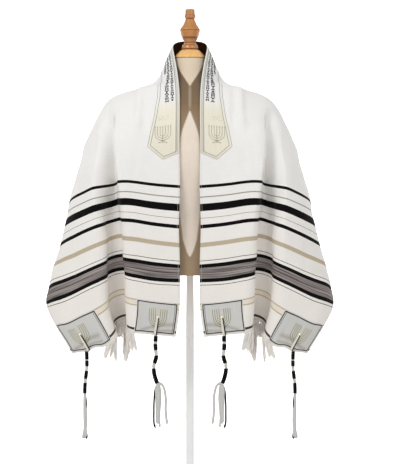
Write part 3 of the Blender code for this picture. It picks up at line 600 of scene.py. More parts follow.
class Cloth:
    """The shawl's outer face, as a grid of points that can be read anywhere by its two distances."""

    def __init__(self, even_columns=274):
        back = np.linspace(0, BACK_REACH, BACK_ROWS + 1)[:-1]
        left_alongs = np.concatenate([back, np.linspace(BACK_REACH, CLOTH_HALF_LENGTH, FRONT_ROWS + 1)])
        samples = draped(left_alongs)
        shares = np.linspace(0, 1, samples.shape[1])
        left, left_across = [], []
        for along, row in zip(left_alongs, samples):
            lengths = run(row)
            distance = lengths / lengths[-1] * CLOTH_WIDTH
            start, end = pleat_at(along)[3:5]
            near, far = np.interp((start, end), shares, distance)
            across = np.concatenate([
                np.linspace(0, near, NECK_STEPS + 1)[:-1],
                np.interp(np.linspace(start, end, PLEAT_STEPS + 1)[:-1], shares, distance),
                np.linspace(far, CLOTH_WIDTH, EDGE_STEPS + 1),
            ])
            left.append(read_rows(across, distance, row))
            left_across.append(across)
        left = np.array(left)
        left[0, :, 0] = 0
        self.alongs = np.concatenate([-left_alongs[:0:-1], left_alongs])
        self.across = np.concatenate([left_across[:0:-1], left_across])
        points = np.concatenate([left[:0:-1] * (-1, 1, 1), left])
        self.along = np.broadcast_to(self.alongs[:, None], self.across.shape)
        outwards = ways_on(points, self.alongs)[1]
        self.points = points + outwards * crease_heights(self.along, self.across)[..., None]
        sideways, outwards, lengthways = ways_on(self.points, self.alongs)
        self.even = np.linspace(0, CLOTH_WIDTH, even_columns)
        fields = np.concatenate([self.points, outwards, sideways, lengthways], axis=2)
        self.fields = np.array([read_rows(self.even, *rows) for rows in zip(self.across, fields)])

    def read(self, along, across):
        """Points, and directions out of the cloth, across it and along it, at matching distances."""
        along, across = np.broadcast_arrays(np.asarray(along, float), np.asarray(across, float))
        rows = np.interp(along, self.alongs, np.arange(len(self.alongs)))
        columns = np.interp(across, self.even, np.arange(len(self.even)))
        row = np.clip(rows.astype(int), 0, len(self.alongs) - 2)
        column = np.clip(columns.astype(int), 0, len(self.even) - 2)
        down, over = (rows - row)[..., None], (columns - column)[..., None]
        near = self.fields[row, column] * (1 - over) + self.fields[row, column + 1] * over
        far = self.fields[row + 1, column] * (1 - over) + self.fields[row + 1, column + 1] * over
        found = near * (1 - down) + far * down
        return found[..., :3], unit(found[..., 3:6]), unit(found[..., 6:9]), unit(found[..., 9:])

    def at(self, along, across, lift=0):
        points, outwards, _, _ = self.read(along, across)
        return points + outwards * np.asarray(lift, float)[..., None]


CLOTH = Cloth()


def cells(grid):
    """The four corners of each cell of a grid, in order round it."""
    corners = grid[:-1, :-1], grid[:-1, 1:], grid[1:, 1:], grid[1:, :-1]
    return np.stack(corners, 2).reshape(-1, 4, *grid.shape[2:])


def sheet(points, uvs, turned=False):
    """A grid of points as a sheet facing the way that its rows cross its columns."""
    faces = cells(np.arange(uvs[..., 0].size).reshape(uvs.shape[:2]))
    if turned:
        faces = faces[:, ::-1]
    return points.reshape(-1, 3), faces, uvs.reshape(-1, 2)[faces]


def ringed(rings, lengths=None):
    """A closed shape from rings of points. Its UVs go once round for U and by the given lengths for V."""
    count, sides = rings.shape[:2]
    lengths = np.zeros(count) if lengths is None else lengths
    number = np.arange(count * sides).reshape(count, sides)
    uvs = np.stack(np.meshgrid(np.linspace(0, 1, sides + 1), lengths), -1)
    ends = [np.full((sides, 2), (0, lengths[end])) for end in (0, -1)]
    faces = [*cells(np.hstack([number, number[:, :1]])), number[0, ::-1], number[-1]]
    return rings.reshape(-1, 3), faces, [*cells(uvs), *ends]


def tube(path, width, depth, width_way, sides=8):
    """A swept tube with a half width along width_way and a half depth across that."""
    path = np.asarray(path, float)
    ways = unit(np.gradient(path, axis=0))
    wide = unit(width_way - ways * np.sum(width_way * ways, axis=1, keepdims=True))
    deep = np.cross(ways, wide)
    angles = 2 * np.pi * np.arange(sides)[:, None] / sides
    width, depth = (np.broadcast_to(size, len(path))[:, None, None] for size in (width, depth))
    rings = path[:, None] + wide[:, None] * width * np.cos(angles) + deep[:, None] * depth * np.sin(angles)
    return ringed(rings, run(path) * MM)


def joined(shapes):
    """Several shapes, each points, faces and UVs, as one."""
    points, faces, uvs, count = [], [], [], 0
    for more_points, more_faces, more_uvs in shapes:
        points.append(more_points)
        faces += [np.add(face, count) for face in more_faces]
        uvs += list(more_uvs)
        count += len(more_points)
    return np.concatenate(points), faces, uvs


def placed(name, data):
    """A new object in the scene that holds a mesh, a lamp or a camera."""
    thing = bpy.data.objects.new(name, data)
    bpy.context.scene.collection.objects.link(thing)
    return thing


def new_piece(name, shape, material, smooth_angle=180):
    """A piece in metres from points in millimetres, faces and UVs in metres."""
    points, faces, uvs = shape
    mesh = bpy.data.meshes.new(name)
    mesh.from_pydata((points * MM).tolist(), [], [tuple(map(int, face)) for face in faces])
    layer = mesh.uv_layers.new(name="surface")
    layer.data.foreach_set("uv", np.concatenate(uvs).astype(float).ravel())
    mesh.shade_smooth()
    if smooth_angle < 180:
        mesh.set_sharp_from_angle(angle=math.radians(smooth_angle))
    mesh.materials.append(material)
    return placed(name, mesh)


def keep(piece, slot, *nodes):
    """Put a finished piece on the body, in the nodes' place, with the slot's finish."""
    if nodes:
        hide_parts(*nodes)
    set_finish(piece, slot)
    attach(piece, BODY)


def give_numbers(piece, **numbers):
    """Give a piece's points named numbers, which its material reads."""
    for label, values in numbers.items():
        piece.data.attributes.new(label, "FLOAT", "POINT").data.foreach_set("value", values.ravel())


def merge(piece, within=1e-6):
    """Join points that coincide."""
    shape = bmesh.new()
    shape.from_mesh(piece.data)
    bmesh.ops.remove_doubles(shape, verts=shape.verts, dist=within)
    bmesh.ops.dissolve_degenerate(shape, dist=within, edges=shape.edges)
    shape.to_mesh(piece.data)
    shape.free()


def give_wall(piece, thickness, inner_material=None):
    """A wall inwards from the piece's faces, in millimetres."""
    wall = piece.modifiers.new("Wall", "SOLIDIFY")
    wall.thickness = thickness * MM
    wall.offset = -1
    wall.use_rim = True
    if inner_material is not None:
        piece.data.materials.append(inner_material)
        wall.material_offset = 1


class Field:
    """A node's output that takes part in arithmetic, each step of which places a node."""

    def __init__(self, n, socket):
        self.n = n
        self.socket = socket

    def __add__(self, other):
        return self.n.math("ADD", self, other)

    def __sub__(self, other):
        return self.n.math("SUBTRACT", self, other)

    def __rsub__(self, other):
        return self.n.math("SUBTRACT", other, self)

    def __mul__(self, other):
        return self.n.math("MULTIPLY", self, other)

    def __truediv__(self, other):
        return self.n.math("DIVIDE", self, other)

    def __rtruediv__(self, other):
        return self.n.math("DIVIDE", other, self)

    def __abs__(self):
        return self.n.math("ABSOLUTE", self)


class Nodes:
    """Places and links nodes in one tree. A value is a field or a plain number, vector or colour."""

    def __init__(self, tree):
        self.tree = tree

    def place(self, kind, values=None, **settings):
        node = self.tree.nodes.new(kind)
        for key, value in settings.items():
            setattr(node, key, value)
        for key, value in (values or {}).items():
            self.feed(node.inputs[key], value)
        return node

    def out(self, kind, values=None, output=0, **settings):
        """One output of a new node."""
        return Field(self, self.place(kind, values, **settings).outputs[output])

    def feed(self, socket, value):
        if isinstance(value, Field):
            self.tree.links.new(value.socket, socket)
        elif value is not None:
            socket.default_value = rgba(value) if socket.type == "RGBA" else value

    def feeds(self, sockets, **values):
        """Feed sockets by their names, with an underscore for a space."""
        for label, value in values.items():
            self.feed(sockets[label.replace("_", " ")], value)

    def fields(self, sockets):
        return {socket.name: Field(self, socket) for socket in sockets}

    def math(self, operation, a, b=None):
        return self.out("ShaderNodeMath", {0: a, 1: b}, operation=operation)

    def vector(self, operation, a, b=None):
        return self.out("ShaderNodeVectorMath", {0: a, 1: b}, operation=operation)

    def scaled(self, a, factor):
        return self.out("ShaderNodeVectorMath", {0: a, "Scale": factor}, operation="SCALE")

    def split(self, vector):
        return self.fields(self.place("ShaderNodeSeparateXYZ", {0: vector}).outputs).values()

    def join(self, x, y, z=0):
        return self.out("ShaderNodeCombineXYZ", {0: x, 1: y, 2: z})

    def noise(self, place, scale, detail=2, roughness=0.5):
        values = {"Vector": place, "Scale": scale, "Detail": detail, "Roughness": roughness}
        return self.out("ShaderNodeTexNoise", values)

    def streaks(self, place, scales, detail=2, roughness=0.5):
        """Noise that is finer along some axes than along others."""
        return self.noise(self.vector("MULTIPLY", place, scales), 1, detail, roughness)

    def between(self, value, low, high, to_low=0, to_high=1):
        """The value's place between low and high, held there, with a soft start and end."""
        values = {"Value": value, "From Min": low, "From Max": high, "To Min": to_low, "To Max": to_high}
        return self.out("ShaderNodeMapRange", values, interpolation_type="SMOOTHSTEP")

    def below(self, value, low, high):
        """One below low and nought above high."""
        return self.between(value, low, high, 1, 0)

    def mix(self, share, first, second, blend="MIX"):
        values = {0: share, 6: first, 7: second}
        return self.out("ShaderNodeMix", values, 2, data_type="RGBA", blend_type=blend)

    def ramp(self, value, stops, interpolation="LINEAR"):
        """Colours by a value: stops are (place, colour) pairs in order."""
        node = self.place("ShaderNodeValToRGB", {0: value})
        band = node.color_ramp
        band.interpolation = interpolation
        while len(band.elements) < len(stops):
            band.elements.new(1)
        for element, (place, colour) in zip(band.elements, stops):
            element.position = place
            element.color = rgba(colour)
        return Field(self, node.outputs[0])

    def curve(self, value, points, handles=None):
        """A value read off a curve through (place, value) points."""
        node = self.place("ShaderNodeFloatCurve", {"Value": value})
        curve = node.mapping.curves[0]
        curve.points[0].location = points[0]
        curve.points[1].location = points[-1]
        for point in points[1:-1]:
            curve.points.new(*point)
        for point in curve.points if handles else ():
            point.handle_type = handles
        node.mapping.update()
        return Field(self, node.outputs[0])

    def group(self, tree, **values):
        node = self.place("ShaderNodeGroup", node_tree=tree)
        self.feeds(node.inputs, **values)
        return self.fields(node.outputs)

    def bump(self, height, distance, strength=1):
        return self.out("ShaderNodeBump", {"Height": height, "Distance": distance, "Strength": strength})

    def number(self, label):
        """A number that each of the piece's points carries."""
        return self.out("ShaderNodeAttribute", None, "Fac", attribute_name=label)

    def in_space(self):
        """The place in the piece's own space, in metres."""
        return self.out("ShaderNodeTexCoord", None, "Object")

    def on_surface(self):
        """The place on the piece's own UV map, in metres."""
        return self.out("ShaderNodeUVMap", uv_map="surface")

    def tinted(self, colour, shade):
        """A colour made lighter or darker by a number near one."""
        return self.mix(1, colour, self.join(shade, shade, shade), "MULTIPLY")


def rgba(colour):
    return (*tuple(colour)[:3], 1)


def new_tree(name, kind, inputs, outputs, helper=Nodes):
    """A tree's nodes, its inputs and its result. An input is named with its default or its socket's type."""
    tree = bpy.data.node_groups.new(name, kind)
    for label, value in inputs.items():
        kind_of = {float: "Float", int: "Int"}.get(type(value), value)
        socket = tree.interface.new_socket(name=label, in_out="INPUT", socket_type=f"NodeSocket{kind_of}")
        if kind_of != value:
            socket.default_value = value
    for label, kind_of in outputs.items():
        tree.interface.new_socket(name=label, in_out="OUTPUT", socket_type=f"NodeSocket{kind_of}")
    n = helper(tree)
    return n, n.fields(n.place("NodeGroupInput").outputs), n.place("NodeGroupOutput").inputs


def shader_group(name, inputs, *outputs):
    """A shader group that reads a place in metres and gives numbers."""
    inputs = {"Place": "Vector", **inputs}
    return new_tree(name, "ShaderNodeTree", inputs, dict.fromkeys(outputs, "Float"))


@functools.cache
def plain_weave():
    """Threads over and under each other with slubs along them."""
    n, given, result = shader_group("plain_weave", {"Pitch": 0.0009, "Slub": 0.3}, "Height", "Shade")
    turns = 2 * math.pi / given["Pitch"]
    x, y, _ = n.split(given["Place"])
    warp = n.math("SINE", x * turns)
    weft = n.math("SINE", y * turns)
    slub = n.streaks(given["Place"], (30, 800, 1)) + n.streaks(given["Place"], (800, 30, 1)) - 1
    uneven = slub * given["Slub"]
    n.feeds(result, Height=warp * weft * 0.5 + 0.5 + uneven, Shade=uneven + 1)
    return n.tree


@functools.cache
def satin_weave():
    """Long floats with soft streaks along the cloth."""
    n, given, result = shader_group("satin_weave", {"Pitch": 0.0006, "Streak": 0.2}, "Height", "Shade")
    x, y, _ = n.split(given["Place"])
    floats = n.math("SINE", (x + y * 0.22) * (2 * math.pi) / given["Pitch"])
    streak = n.streaks(given["Place"], (110, 9, 1), 3) + n.streaks(given["Place"], (700, 30, 1)) - 1
    uneven = streak * given["Streak"]
    n.feeds(result, Height=floats * 0.4 + uneven, Shade=uneven + 1)
    return n.tree


@functools.cache
def twisted_plies():
    """Plies twisted round a cord, whose place is once round for X and metres along for Y."""
    inputs = {"Plies": 3.0, "Lay": 0.006, "Fuzz": 0.2}
    n, given, result = shader_group("twisted_plies", inputs, "Height", "Shade")
    x, y, _ = n.split(given["Place"])
    turn = x * given["Plies"] + y / given["Lay"]
    ply = abs(n.math("SINE", turn * math.pi))
    uneven = (n.noise(n.join(turn * 9, y * 260), 1, 3) - 0.5) * given["Fuzz"]
    n.feeds(result, Height=ply + uneven, Shade=n.between(ply, 0, 0.6, 0.72, 1) + uneven)
    return n.tree


@functools.cache
def soft_mottle():
    """Uneven colour and wear in large and small patches."""
    n, given, result = shader_group("soft_mottle", {"Large": 14.0, "Small": 220.0, "Amount": 0.1}, "Shade")
    large = n.noise(given["Place"], given["Large"], 3)
    small = n.noise(given["Place"], given["Small"], 2)
    n.feeds(result, Shade=(large + small * 0.5 - 0.75) * given["Amount"] + 1)
    return n.tree


@functools.cache
def turned_wood():
    """Grain that runs up a turned piece, and the tool's fine rings."""
    n, given, result = shader_group("turned_wood", {"Grain": 1.0, "Rings": 1.0}, "Streak", "Height")
    warp = n.streaks(given["Place"], (18, 18, 7))
    bent = n.vector("ADD", given["Place"], n.scaled(n.join(warp, warp), 0.012))
    streak = n.streaks(bent, (420, 420, 16), 4, 0.6)
    both = streak * 0.5 + n.streaks(bent, (90, 90, 8)) * 0.5
    _, _, z = n.split(given["Place"])
    rings = n.noise(n.join(0, 0, z * 900), 1, 3)
    grain = n.between(both, 0.36, 0.64) * given["Grain"]
    n.feeds(result, Streak=grain, Height=rings * given["Rings"] + streak)
    return n.tree


def new_material(name, **constants):
    """A material with its constants on the Principled BSDF's own sockets, and where to feed the rest."""
    material = bpy.data.materials.new(name)
    material.use_nodes = True
    n = Nodes(material.node_tree)
    into = material.node_tree.nodes["Principled BSDF"].inputs
    n.feeds(into, **constants)
    return material, n, into


def wool_material(settings, name):
    """The shawl's wool: a fine plain weave with stripes woven across it, counted from each end."""
    material, n, into = new_material(name, Roughness=0.9, Sheen_Weight=0.03, Specular_IOR_Level=0.12)
    place = n.on_surface()
    _, along, _ = n.split(place)
    weave = n.group(plain_weave(), Place=place, Pitch=settings.weave_pitch, Slub=0.1)
    mottle = n.group(soft_mottle(), Place=place, Amount=0.03)["Shade"]
    fray = n.streaks(place, (900, 60, 1)) - 0.5
    from_end = CLOTH_HALF_LENGTH * MM - abs(along)
    share = (from_end + fray * 0.0011) / (STRIPE_SPAN * MM)
    colour = n.ramp(share, stripe_stops(settings), "CONSTANT")
    band = next(stripe for stripe in STRIPES if stripe.colour == "heather")
    off = abs(from_end - band.distance * MM)
    mixed = n.below(off, (band.width / 2 - 1) * MM, band.width / 2 * MM)
    fine = n.between(n.streaks(place, (5, 330, 1)), 0.36, 0.64, 0.5, 1.35)
    broad = n.between(n.streaks(place, (9, 90, 1), 1), 0.3, 0.7, -0.15, 0.15)
    colour = n.mix(mixed, colour, n.tinted(colour, fine + broad))
    # Darker and warmer towards both ends, which hang lowest.
    ends = n.mix(n.below(from_end, 0.1, 0.6), (1, 1, 1), settings.end_tint)
    shown = n.tinted(n.vector("MULTIPLY", colour, ends), weave["Shade"] * mottle)
    n.feeds(into, Base_Color=shown, Normal=n.bump(weave["Height"], 0.00018, 0.5))
    return material


def stripe_stops(settings):
    """Colour stops, as shares of the striped stretch, for stripes that may lie on a broader one."""
    edges = sorted({round(s.distance + part * s.width / 2, 3) for s in STRIPES for part in (-1, 1)})
    stops = [(0, settings.wool)]
    for edge, after in zip(edges, edges[1:] + [STRIPE_SPAN]):
        middle = (edge + after) / 2
        under = [s for s in STRIPES if abs(middle - s.distance) < s.width / 2]
        top = min(under, key=lambda s: s.width).colour if under else "wool"
        stops.append((edge / STRIPE_SPAN, getattr(settings, top)))
    return stops


def inner_wool_material(settings):
    """The shawl's inner side: the same stripes, with a dark brown patch at the back of the neck."""
    material = wool_material(settings, "shawl_wool_inner")
    n = Nodes(material.node_tree)
    into = material.node_tree.nodes["Principled BSDF"].inputs
    across, along, _ = n.split(n.on_surface())
    facing = n.below(abs(along), *NECK_BROWN_ALONG) * n.below(across, *NECK_BROWN_ACROSS)
    woven = Field(n, into["Base Color"].links[0].from_socket)
    neck_brown = n.tinted(settings.facing, n.noise(n.scaled(n.on_surface(), 60), 1, 3))
    n.feeds(into, Base_Color=n.mix(facing, woven, neck_brown))
    return material


def lined(n, colour, distance, lines, line_colour):
    """Lines over a colour, as (place, width) in millimetres along a distance in metres: woven lines, and the
    band's painted edge shadow.
    """
    for place, width in lines:
        line = n.below(abs(distance - place * MM), width * 0.35 * MM, width * 0.75 * MM)
        colour = n.mix(line, colour, line_colour)
    return colour


def band_material(settings):
    """The neck band: satin that turns from white to cream, with thin woven lines along its neck edge and a
    thin painted shadow line along its outer edge.
    """
    material, n, into = new_material("band_satin", Roughness=0.5, Sheen_Weight=0.15, Sheen_Roughness=0.4)
    place = n.on_surface()
    across, along, _ = n.split(place)
    weave = n.group(satin_weave(), Place=place, Pitch=settings.satin_pitch, Streak=0.1)
    reach = abs(along)
    creamy = n.between(reach, BAND_CREAM_FROM * MM, BAND_CREAM_TO * MM)
    colour = n.mix(creamy, settings.ground, settings.cream)
    # Woven lines by the neck edge; a painted shadow line by the outer edge.
    for label, lines in (("near_distance", NEAR_LINES), ("far_distance", FAR_EDGE_SHADOW)):
        from_edge = n.number(label)
        margin = n.between(from_edge, MARGIN_FROM * MM, MARGIN_TO * MM, 0.35, 0)
        colour = lined(n, n.mix(margin, colour, settings.ground), from_edge, lines, settings.line)
    inside = n.between(reach, *BROCADE_FROM) * n.below(reach, *BROCADE_TO)
    middle = n.below(abs(across - BROCADE_ACROSS), *BROCADE_HALF)
    brocade = inside * middle * n.between(n.streaks(place, (170, 210, 1), 1), 0.5, 0.56)
    colour = n.mix(brocade * 0.45, colour, settings.brocade)
    n.feeds(into, Base_Color=n.tinted(colour, weave["Shade"]),
            Roughness=n.between(creamy, 0, 1, 0.56, 0.46),
            Normal=n.bump(weave["Height"] + brocade * 1.5, 0.00012, 0.5))
    return material


def mottled_material(name, colour, sizes, amount, fibres, **constants):
    """A material whose colour is uneven in patches of two sizes, with fine fibres."""
    material, n, into = new_material(name, **constants)
    place = n.in_space()
    mottle = n.group(soft_mottle(), Place=place, Large=sizes[0], Small=sizes[1], Amount=amount)["Shade"]
    n.feeds(into, Base_Color=n.tinted(colour, mottle), Normal=n.bump(n.streaks(place, fibres), 0.0003, 0.6))
    return material


def thread_material(name, colour, roughness=0.6, amount=0.25):
    """Embroidery thread: short satin stitches, uneven in colour."""
    return mottled_material(name, colour, (60, 900), amount, (900, 900, 2400), Roughness=roughness,
                            Sheen_Weight=0.04, Specular_IOR_Level=0.25)


def yarn_material(name, colour, amount=0.16, roughness=0.85):
    """Fine yarn whose colour and fibres vary from thread to thread."""
    return mottled_material(name, colour, (160, 900), amount, (1400, 1400, 300), Roughness=roughness,
                            Sheen_Weight=0.03, Specular_IOR_Level=0.15)


def corner_material(settings):
    """A corner square: grey satin with painted warm shade along its folds and dark woven borders, by the
    distance from its edges.
    """
    material, n, into = new_material("corner_satin", Roughness=0.42, Sheen_Weight=0.2, Sheen_Roughness=0.4)
    weave = n.group(satin_weave(), Place=n.on_surface(), Pitch=settings.satin_pitch, Streak=0.16)
    edge = n.number("edge_distance")
    # Painted warm shade along the folds.
    colour = n.mix(n.number("fold_shade") * 0.5, settings.satin, settings.fold)
    colour = n.mix(n.below(edge, (SQUARE_MARGIN - 1) * MM, SQUARE_MARGIN * MM), colour, settings.ground)
    colour = lined(n, colour, edge, SQUARE_LINES, settings.border)
    colour = lined(n, colour, n.number("seam_distance"), SQUARE_SEAM_LINES, settings.border)
    n.feeds(into, Base_Color=n.tinted(colour, weave["Shade"]), Normal=n.bump(weave["Height"], 0.00014, 0.6),
            Roughness=n.between(weave["Shade"], 0.85, 1.15, 0.52, 0.36))
    return material


def cord_material(name, colour):
    """Twisted cord: its plies, and loose fibres."""
    material, n, into = new_material(name, Roughness=0.8, Sheen_Weight=0.03, Specular_IOR_Level=0.15)
    twist = n.group(twisted_plies(), Place=n.on_surface(), Plies=3, Lay=0.006, Fuzz=0.2)
    n.feeds(into, Base_Color=n.tinted(colour, twist["Shade"]), Normal=n.bump(twist["Height"], 0.0004, 0.7))
    return material


def cover_material(settings):
    """The form's jersey cover: beige panels at the neck and down the front, and darker cloth beside them
    that is partly painted shadow of the shawl's edges and darkens towards the neck as painted shade.
    """
    material, n, into = new_material("form_jersey", Roughness=0.9, Sheen_Weight=0.2, Sheen_Roughness=0.5)
    place = n.in_space()
    x, y, z = n.split(place)
    off = abs(x)
    turn = n.math("ARCTAN2", x, y * -1)
    knit = n.group(plain_weave(), Place=n.join(turn * 0.12, z), Pitch=settings.knit_pitch, Slub=0.15)
    wear = n.group(soft_mottle(), Place=place, Amount=0.12)["Shade"]
    span = COVER_HIGH - COVER_LOW
    straight = (z - COVER_LOW * MM) / (span * MM)
    tones = [((level - COVER_LOW) / span, getattr(settings, tone)) for level, tone in COVER_TONES_AND_SHADE]
    # Painted shade: the tones grow darker towards the neck, under the collar.
    colour = n.ramp(straight, tones)
    front = n.below(y, 0, 0.02)
    # Beige where light reaches the form between the shawl's edges; round the panels, partly painted shadow.
    for outline, panel in ((COVER_V, settings.panel_high), (COVER_SPINDLE, settings.panel)):
        points = [((level - COVER_LOW) / span, half / COVER_WIDEST) for level, half in outline]
        reach = n.curve(straight, points, "VECTOR") * (COVER_WIDEST * MM)
        inside = n.below(off - reach, -0.0032, 0.0032)
        colour = n.mix(inside * n.between(reach, 0.0004, 0.003) * front, colour, panel)
    seam = n.below(off, *SEAM_HALF) * (n.between(z, *SEAM_FROM) * n.below(z, *SEAM_TO))
    colour = n.mix(seam * front * 0.22, colour, settings.panel)
    worn = n.tinted(colour, wear * knit["Shade"])
    n.feeds(into, Base_Color=worn, Normal=n.bump(knit["Height"], 0.0002, 0.4))
    return material


def wood_material(settings, name, colour, dark_levels, roughness=0.3):
    """Turned and varnished wood, darker in its grooves and in bands of painted shade, which are (height, half
    width) in millimetres.
    """
    varnish = {"Coat_Weight": settings.varnish, "Coat_Roughness": 0.12}
    material, n, into = new_material(name, Roughness=roughness, **varnish)
    place = n.in_space()
    grain = n.group(turned_wood(), Place=place, Grain=1, Rings=0.5)
    tone = n.mix(grain["Streak"], [value * settings.grain_depth for value in colour], colour)
    _, _, z = n.split(place)
    # Darker varnish in the grooves, and painted shade under the finial's bulb.
    groove = 0
    for level, half_width in dark_levels:
        near = n.below(abs(z - level * MM), half_width * 0.3 * MM, half_width * MM)
        groove = n.math("MAXIMUM", near, groove)
    n.feeds(into, Base_Color=n.mix(groove * 0.75, tone, settings.groove),
            Roughness=n.between(grain["Streak"], 0, 1, roughness + 0.1, roughness),
            Normal=n.bump(grain["Height"], 0.00015, 0.25))
    return material


def paint_material(settings):
    """Satin paint on the stand, with a faint orange peel and a little wear."""
    material, n, into = new_material("stand_paint", Roughness=0.35, Coat_Weight=0.3, Coat_Roughness=0.2)
    place = n.in_space()
    wear = n.group(soft_mottle(), Place=place, Large=9, Small=150, Amount=0.06)["Shade"]
    n.feeds(into, Base_Color=n.tinted(settings.paint, wear), Roughness=n.between(wear, 0.95, 1.05, 0.42, 0.3),
            Normal=n.bump(n.noise(place, 500), 0.00006, 0.3))
    return material


def make_shawl(settings):
    """The whole cloth as one thin woven sheet, with a hole at each eyelet."""
    points, faces, uvs = sheet(CLOTH.points, np.stack([CLOTH.across, CLOTH.along], -1) * MM)
    middles = uvs.mean(axis=1) / MM
    whole = np.ones(len(faces), bool)
    for side, _ in SIDES:
        for patch in PATCHES:
            off = np.hypot(middles[:, 1] - side * EYELET_ALONG, middles[:, 0] - patch.eyelet)
            whole &= off > EYELET_HOLE
    shawl = new_piece("shawl", (points, faces[whole], uvs[whole]), wool_material(settings, "shawl_wool"))
    give_wall(shawl, settings.thickness / MM, inner_wool_material(settings))
    keep(shawl, "shawl_wool", "shawl_cloth")


def make_band(settings):
    """The neck band on the cloth's edge, pointed at both ends and turned down round its outline."""
    tip = BAND_FAR[-1][0]
    alongs = np.linspace(-tip, tip, 2 * BAND_ROWS + 1)
    near, far = (np.interp(np.abs(alongs), *np.transpose(edge))[:, None] for edge in (BAND_NEAR, BAND_FAR))
    across = near + (far - near) * np.linspace(0, 1, BAND_COLUMNS + 1)
    along = np.broadcast_to(alongs[:, None], across.shape)
    row, column = np.indices(across.shape)
    from_edge = np.minimum.reduce([row, 2 * BAND_ROWS - row, column, BAND_COLUMNS - column])
    lift = BAND_LIFT - EDGE_DROP * (1 - ease(from_edge / 2))
    shape = sheet(CLOTH.at(along, across, lift), np.stack([across, along], -1) * MM)
    band = new_piece("neck_band", shape, band_material(settings))
    give_numbers(band, near_distance=(across - near) * MM, far_distance=(far - across) * MM)
    merge(band)
    give_wall(band, BAND_WALL)
    keep(band, "atarah_cloth", "atarah")


def on_cloth(plan, lift, step=2):
    """Places on the cloth along a plan of straight lines between (along, across) points, and the way out."""
    plan = np.array(plan, float)
    lengths = run(plan)
    wanted = np.linspace(0, lengths[-1], max(int(lengths[-1] / step), 4) + 1)
    wanted = np.unique(np.concatenate([wanted, lengths]))
    points, outwards, _, _ = CLOTH.read(*read_rows(wanted, lengths, plan).T)
    return points + outwards * lift, outwards


def laid_thread(plan, lift, thread, step=2):
    """A thread of a width and a height, laid on the cloth along a plan."""
    path, outwards = on_cloth(plan, lift, step)
    ways = unit(np.gradient(path, axis=0))
    width, height = thread
    return tube(path, width / 2, height / 2, np.cross(ways, outwards), 6)


def band_outline(inset):
    """The band's outline as a closed plan, moved in by a distance."""
    half = np.array([*BAND_FAR[1:], BAND_NEAR[1]], float)
    corners = np.concatenate([half, half[::-1] * (-1, 1)])
    before, after = (unit(np.roll(corners, shift, 0) - corners) for shift in (1, -1))
    inwards = [np.stack([way[:, 1], -way[:, 0]], -1) for way in (-before, after)]
    together = 1 + np.sum(inwards[0] * inwards[1], axis=1, keepdims=True)
    moved = corners + inset * (inwards[0] + inwards[1]) / together
    return [*moved, moved[0]]


def arm_plan(side, along, across, radius, top, steps=14):
    """A U of one pair of arms about a centre, open towards the neck."""
    turns = np.linspace(0, np.pi, steps)
    curve = [(side * (along + radius * math.sin(t)), across - radius * math.cos(t)) for t in turns]
    return [(side * (along - top), across - radius), *curve, (side * (along - top), across + radius)]


def make_band_embroidery(settings):
    """The raised border line, and a seven-branched lamp near each point of the band."""
    lift = BAND_LIFT + BAND_THREAD_LIFT
    lamps = []

    def lay(plan, thread, step=1.5):
        lamps.append(laid_thread(plan, lift, thread, step))

    for side, _ in SIDES:
        for radius in LAMP_ARMS:
            lay(arm_plan(side, LAMP_ALONG, LAMP_ACROSS, radius, LAMP_TOP), ARM_THREAD)
        top = side * (LAMP_ALONG - LAMP_TOP)
        lay([(top, LAMP_ACROSS), (side * (LAMP_ALONG + LAMP_STEM), LAMP_ACROSS)], STEM_THREAD)
        arms = [sign * radius for radius in LAMP_ARMS for sign in (-1, 1)]
        for across in [LAMP_ACROSS + arm for arm in (*arms, 0)]:
            lay([(top, across - LAMP_CUP), (top, across + LAMP_CUP)], CUP_THREAD, 1)
            lay([(top - side * up, across) for up in LAMP_FLAME], CUP_THREAD, 1)
        for up, share, sag in LAMP_BARS:
            foot = side * (LAMP_ALONG + LAMP_STEM - up)
            reach = LAMP_FOOT * share
            bar = ((sag, -reach), (0, -reach / 2), (0, reach / 2), (sag, reach))
            lay([(foot + side * down, LAMP_ACROSS + over) for down, over in bar], FOOT_THREAD)
    thread = thread_material("lamp_thread", settings.line, 0.5)
    border = laid_thread(band_outline(BORDER_INSET), lift, BORDER_THREAD)
    for name, shape in (("band_border", border), ("band_lamps", joined(lamps))):
        keep(new_piece(name, shape, thread), "atarah_cloth")


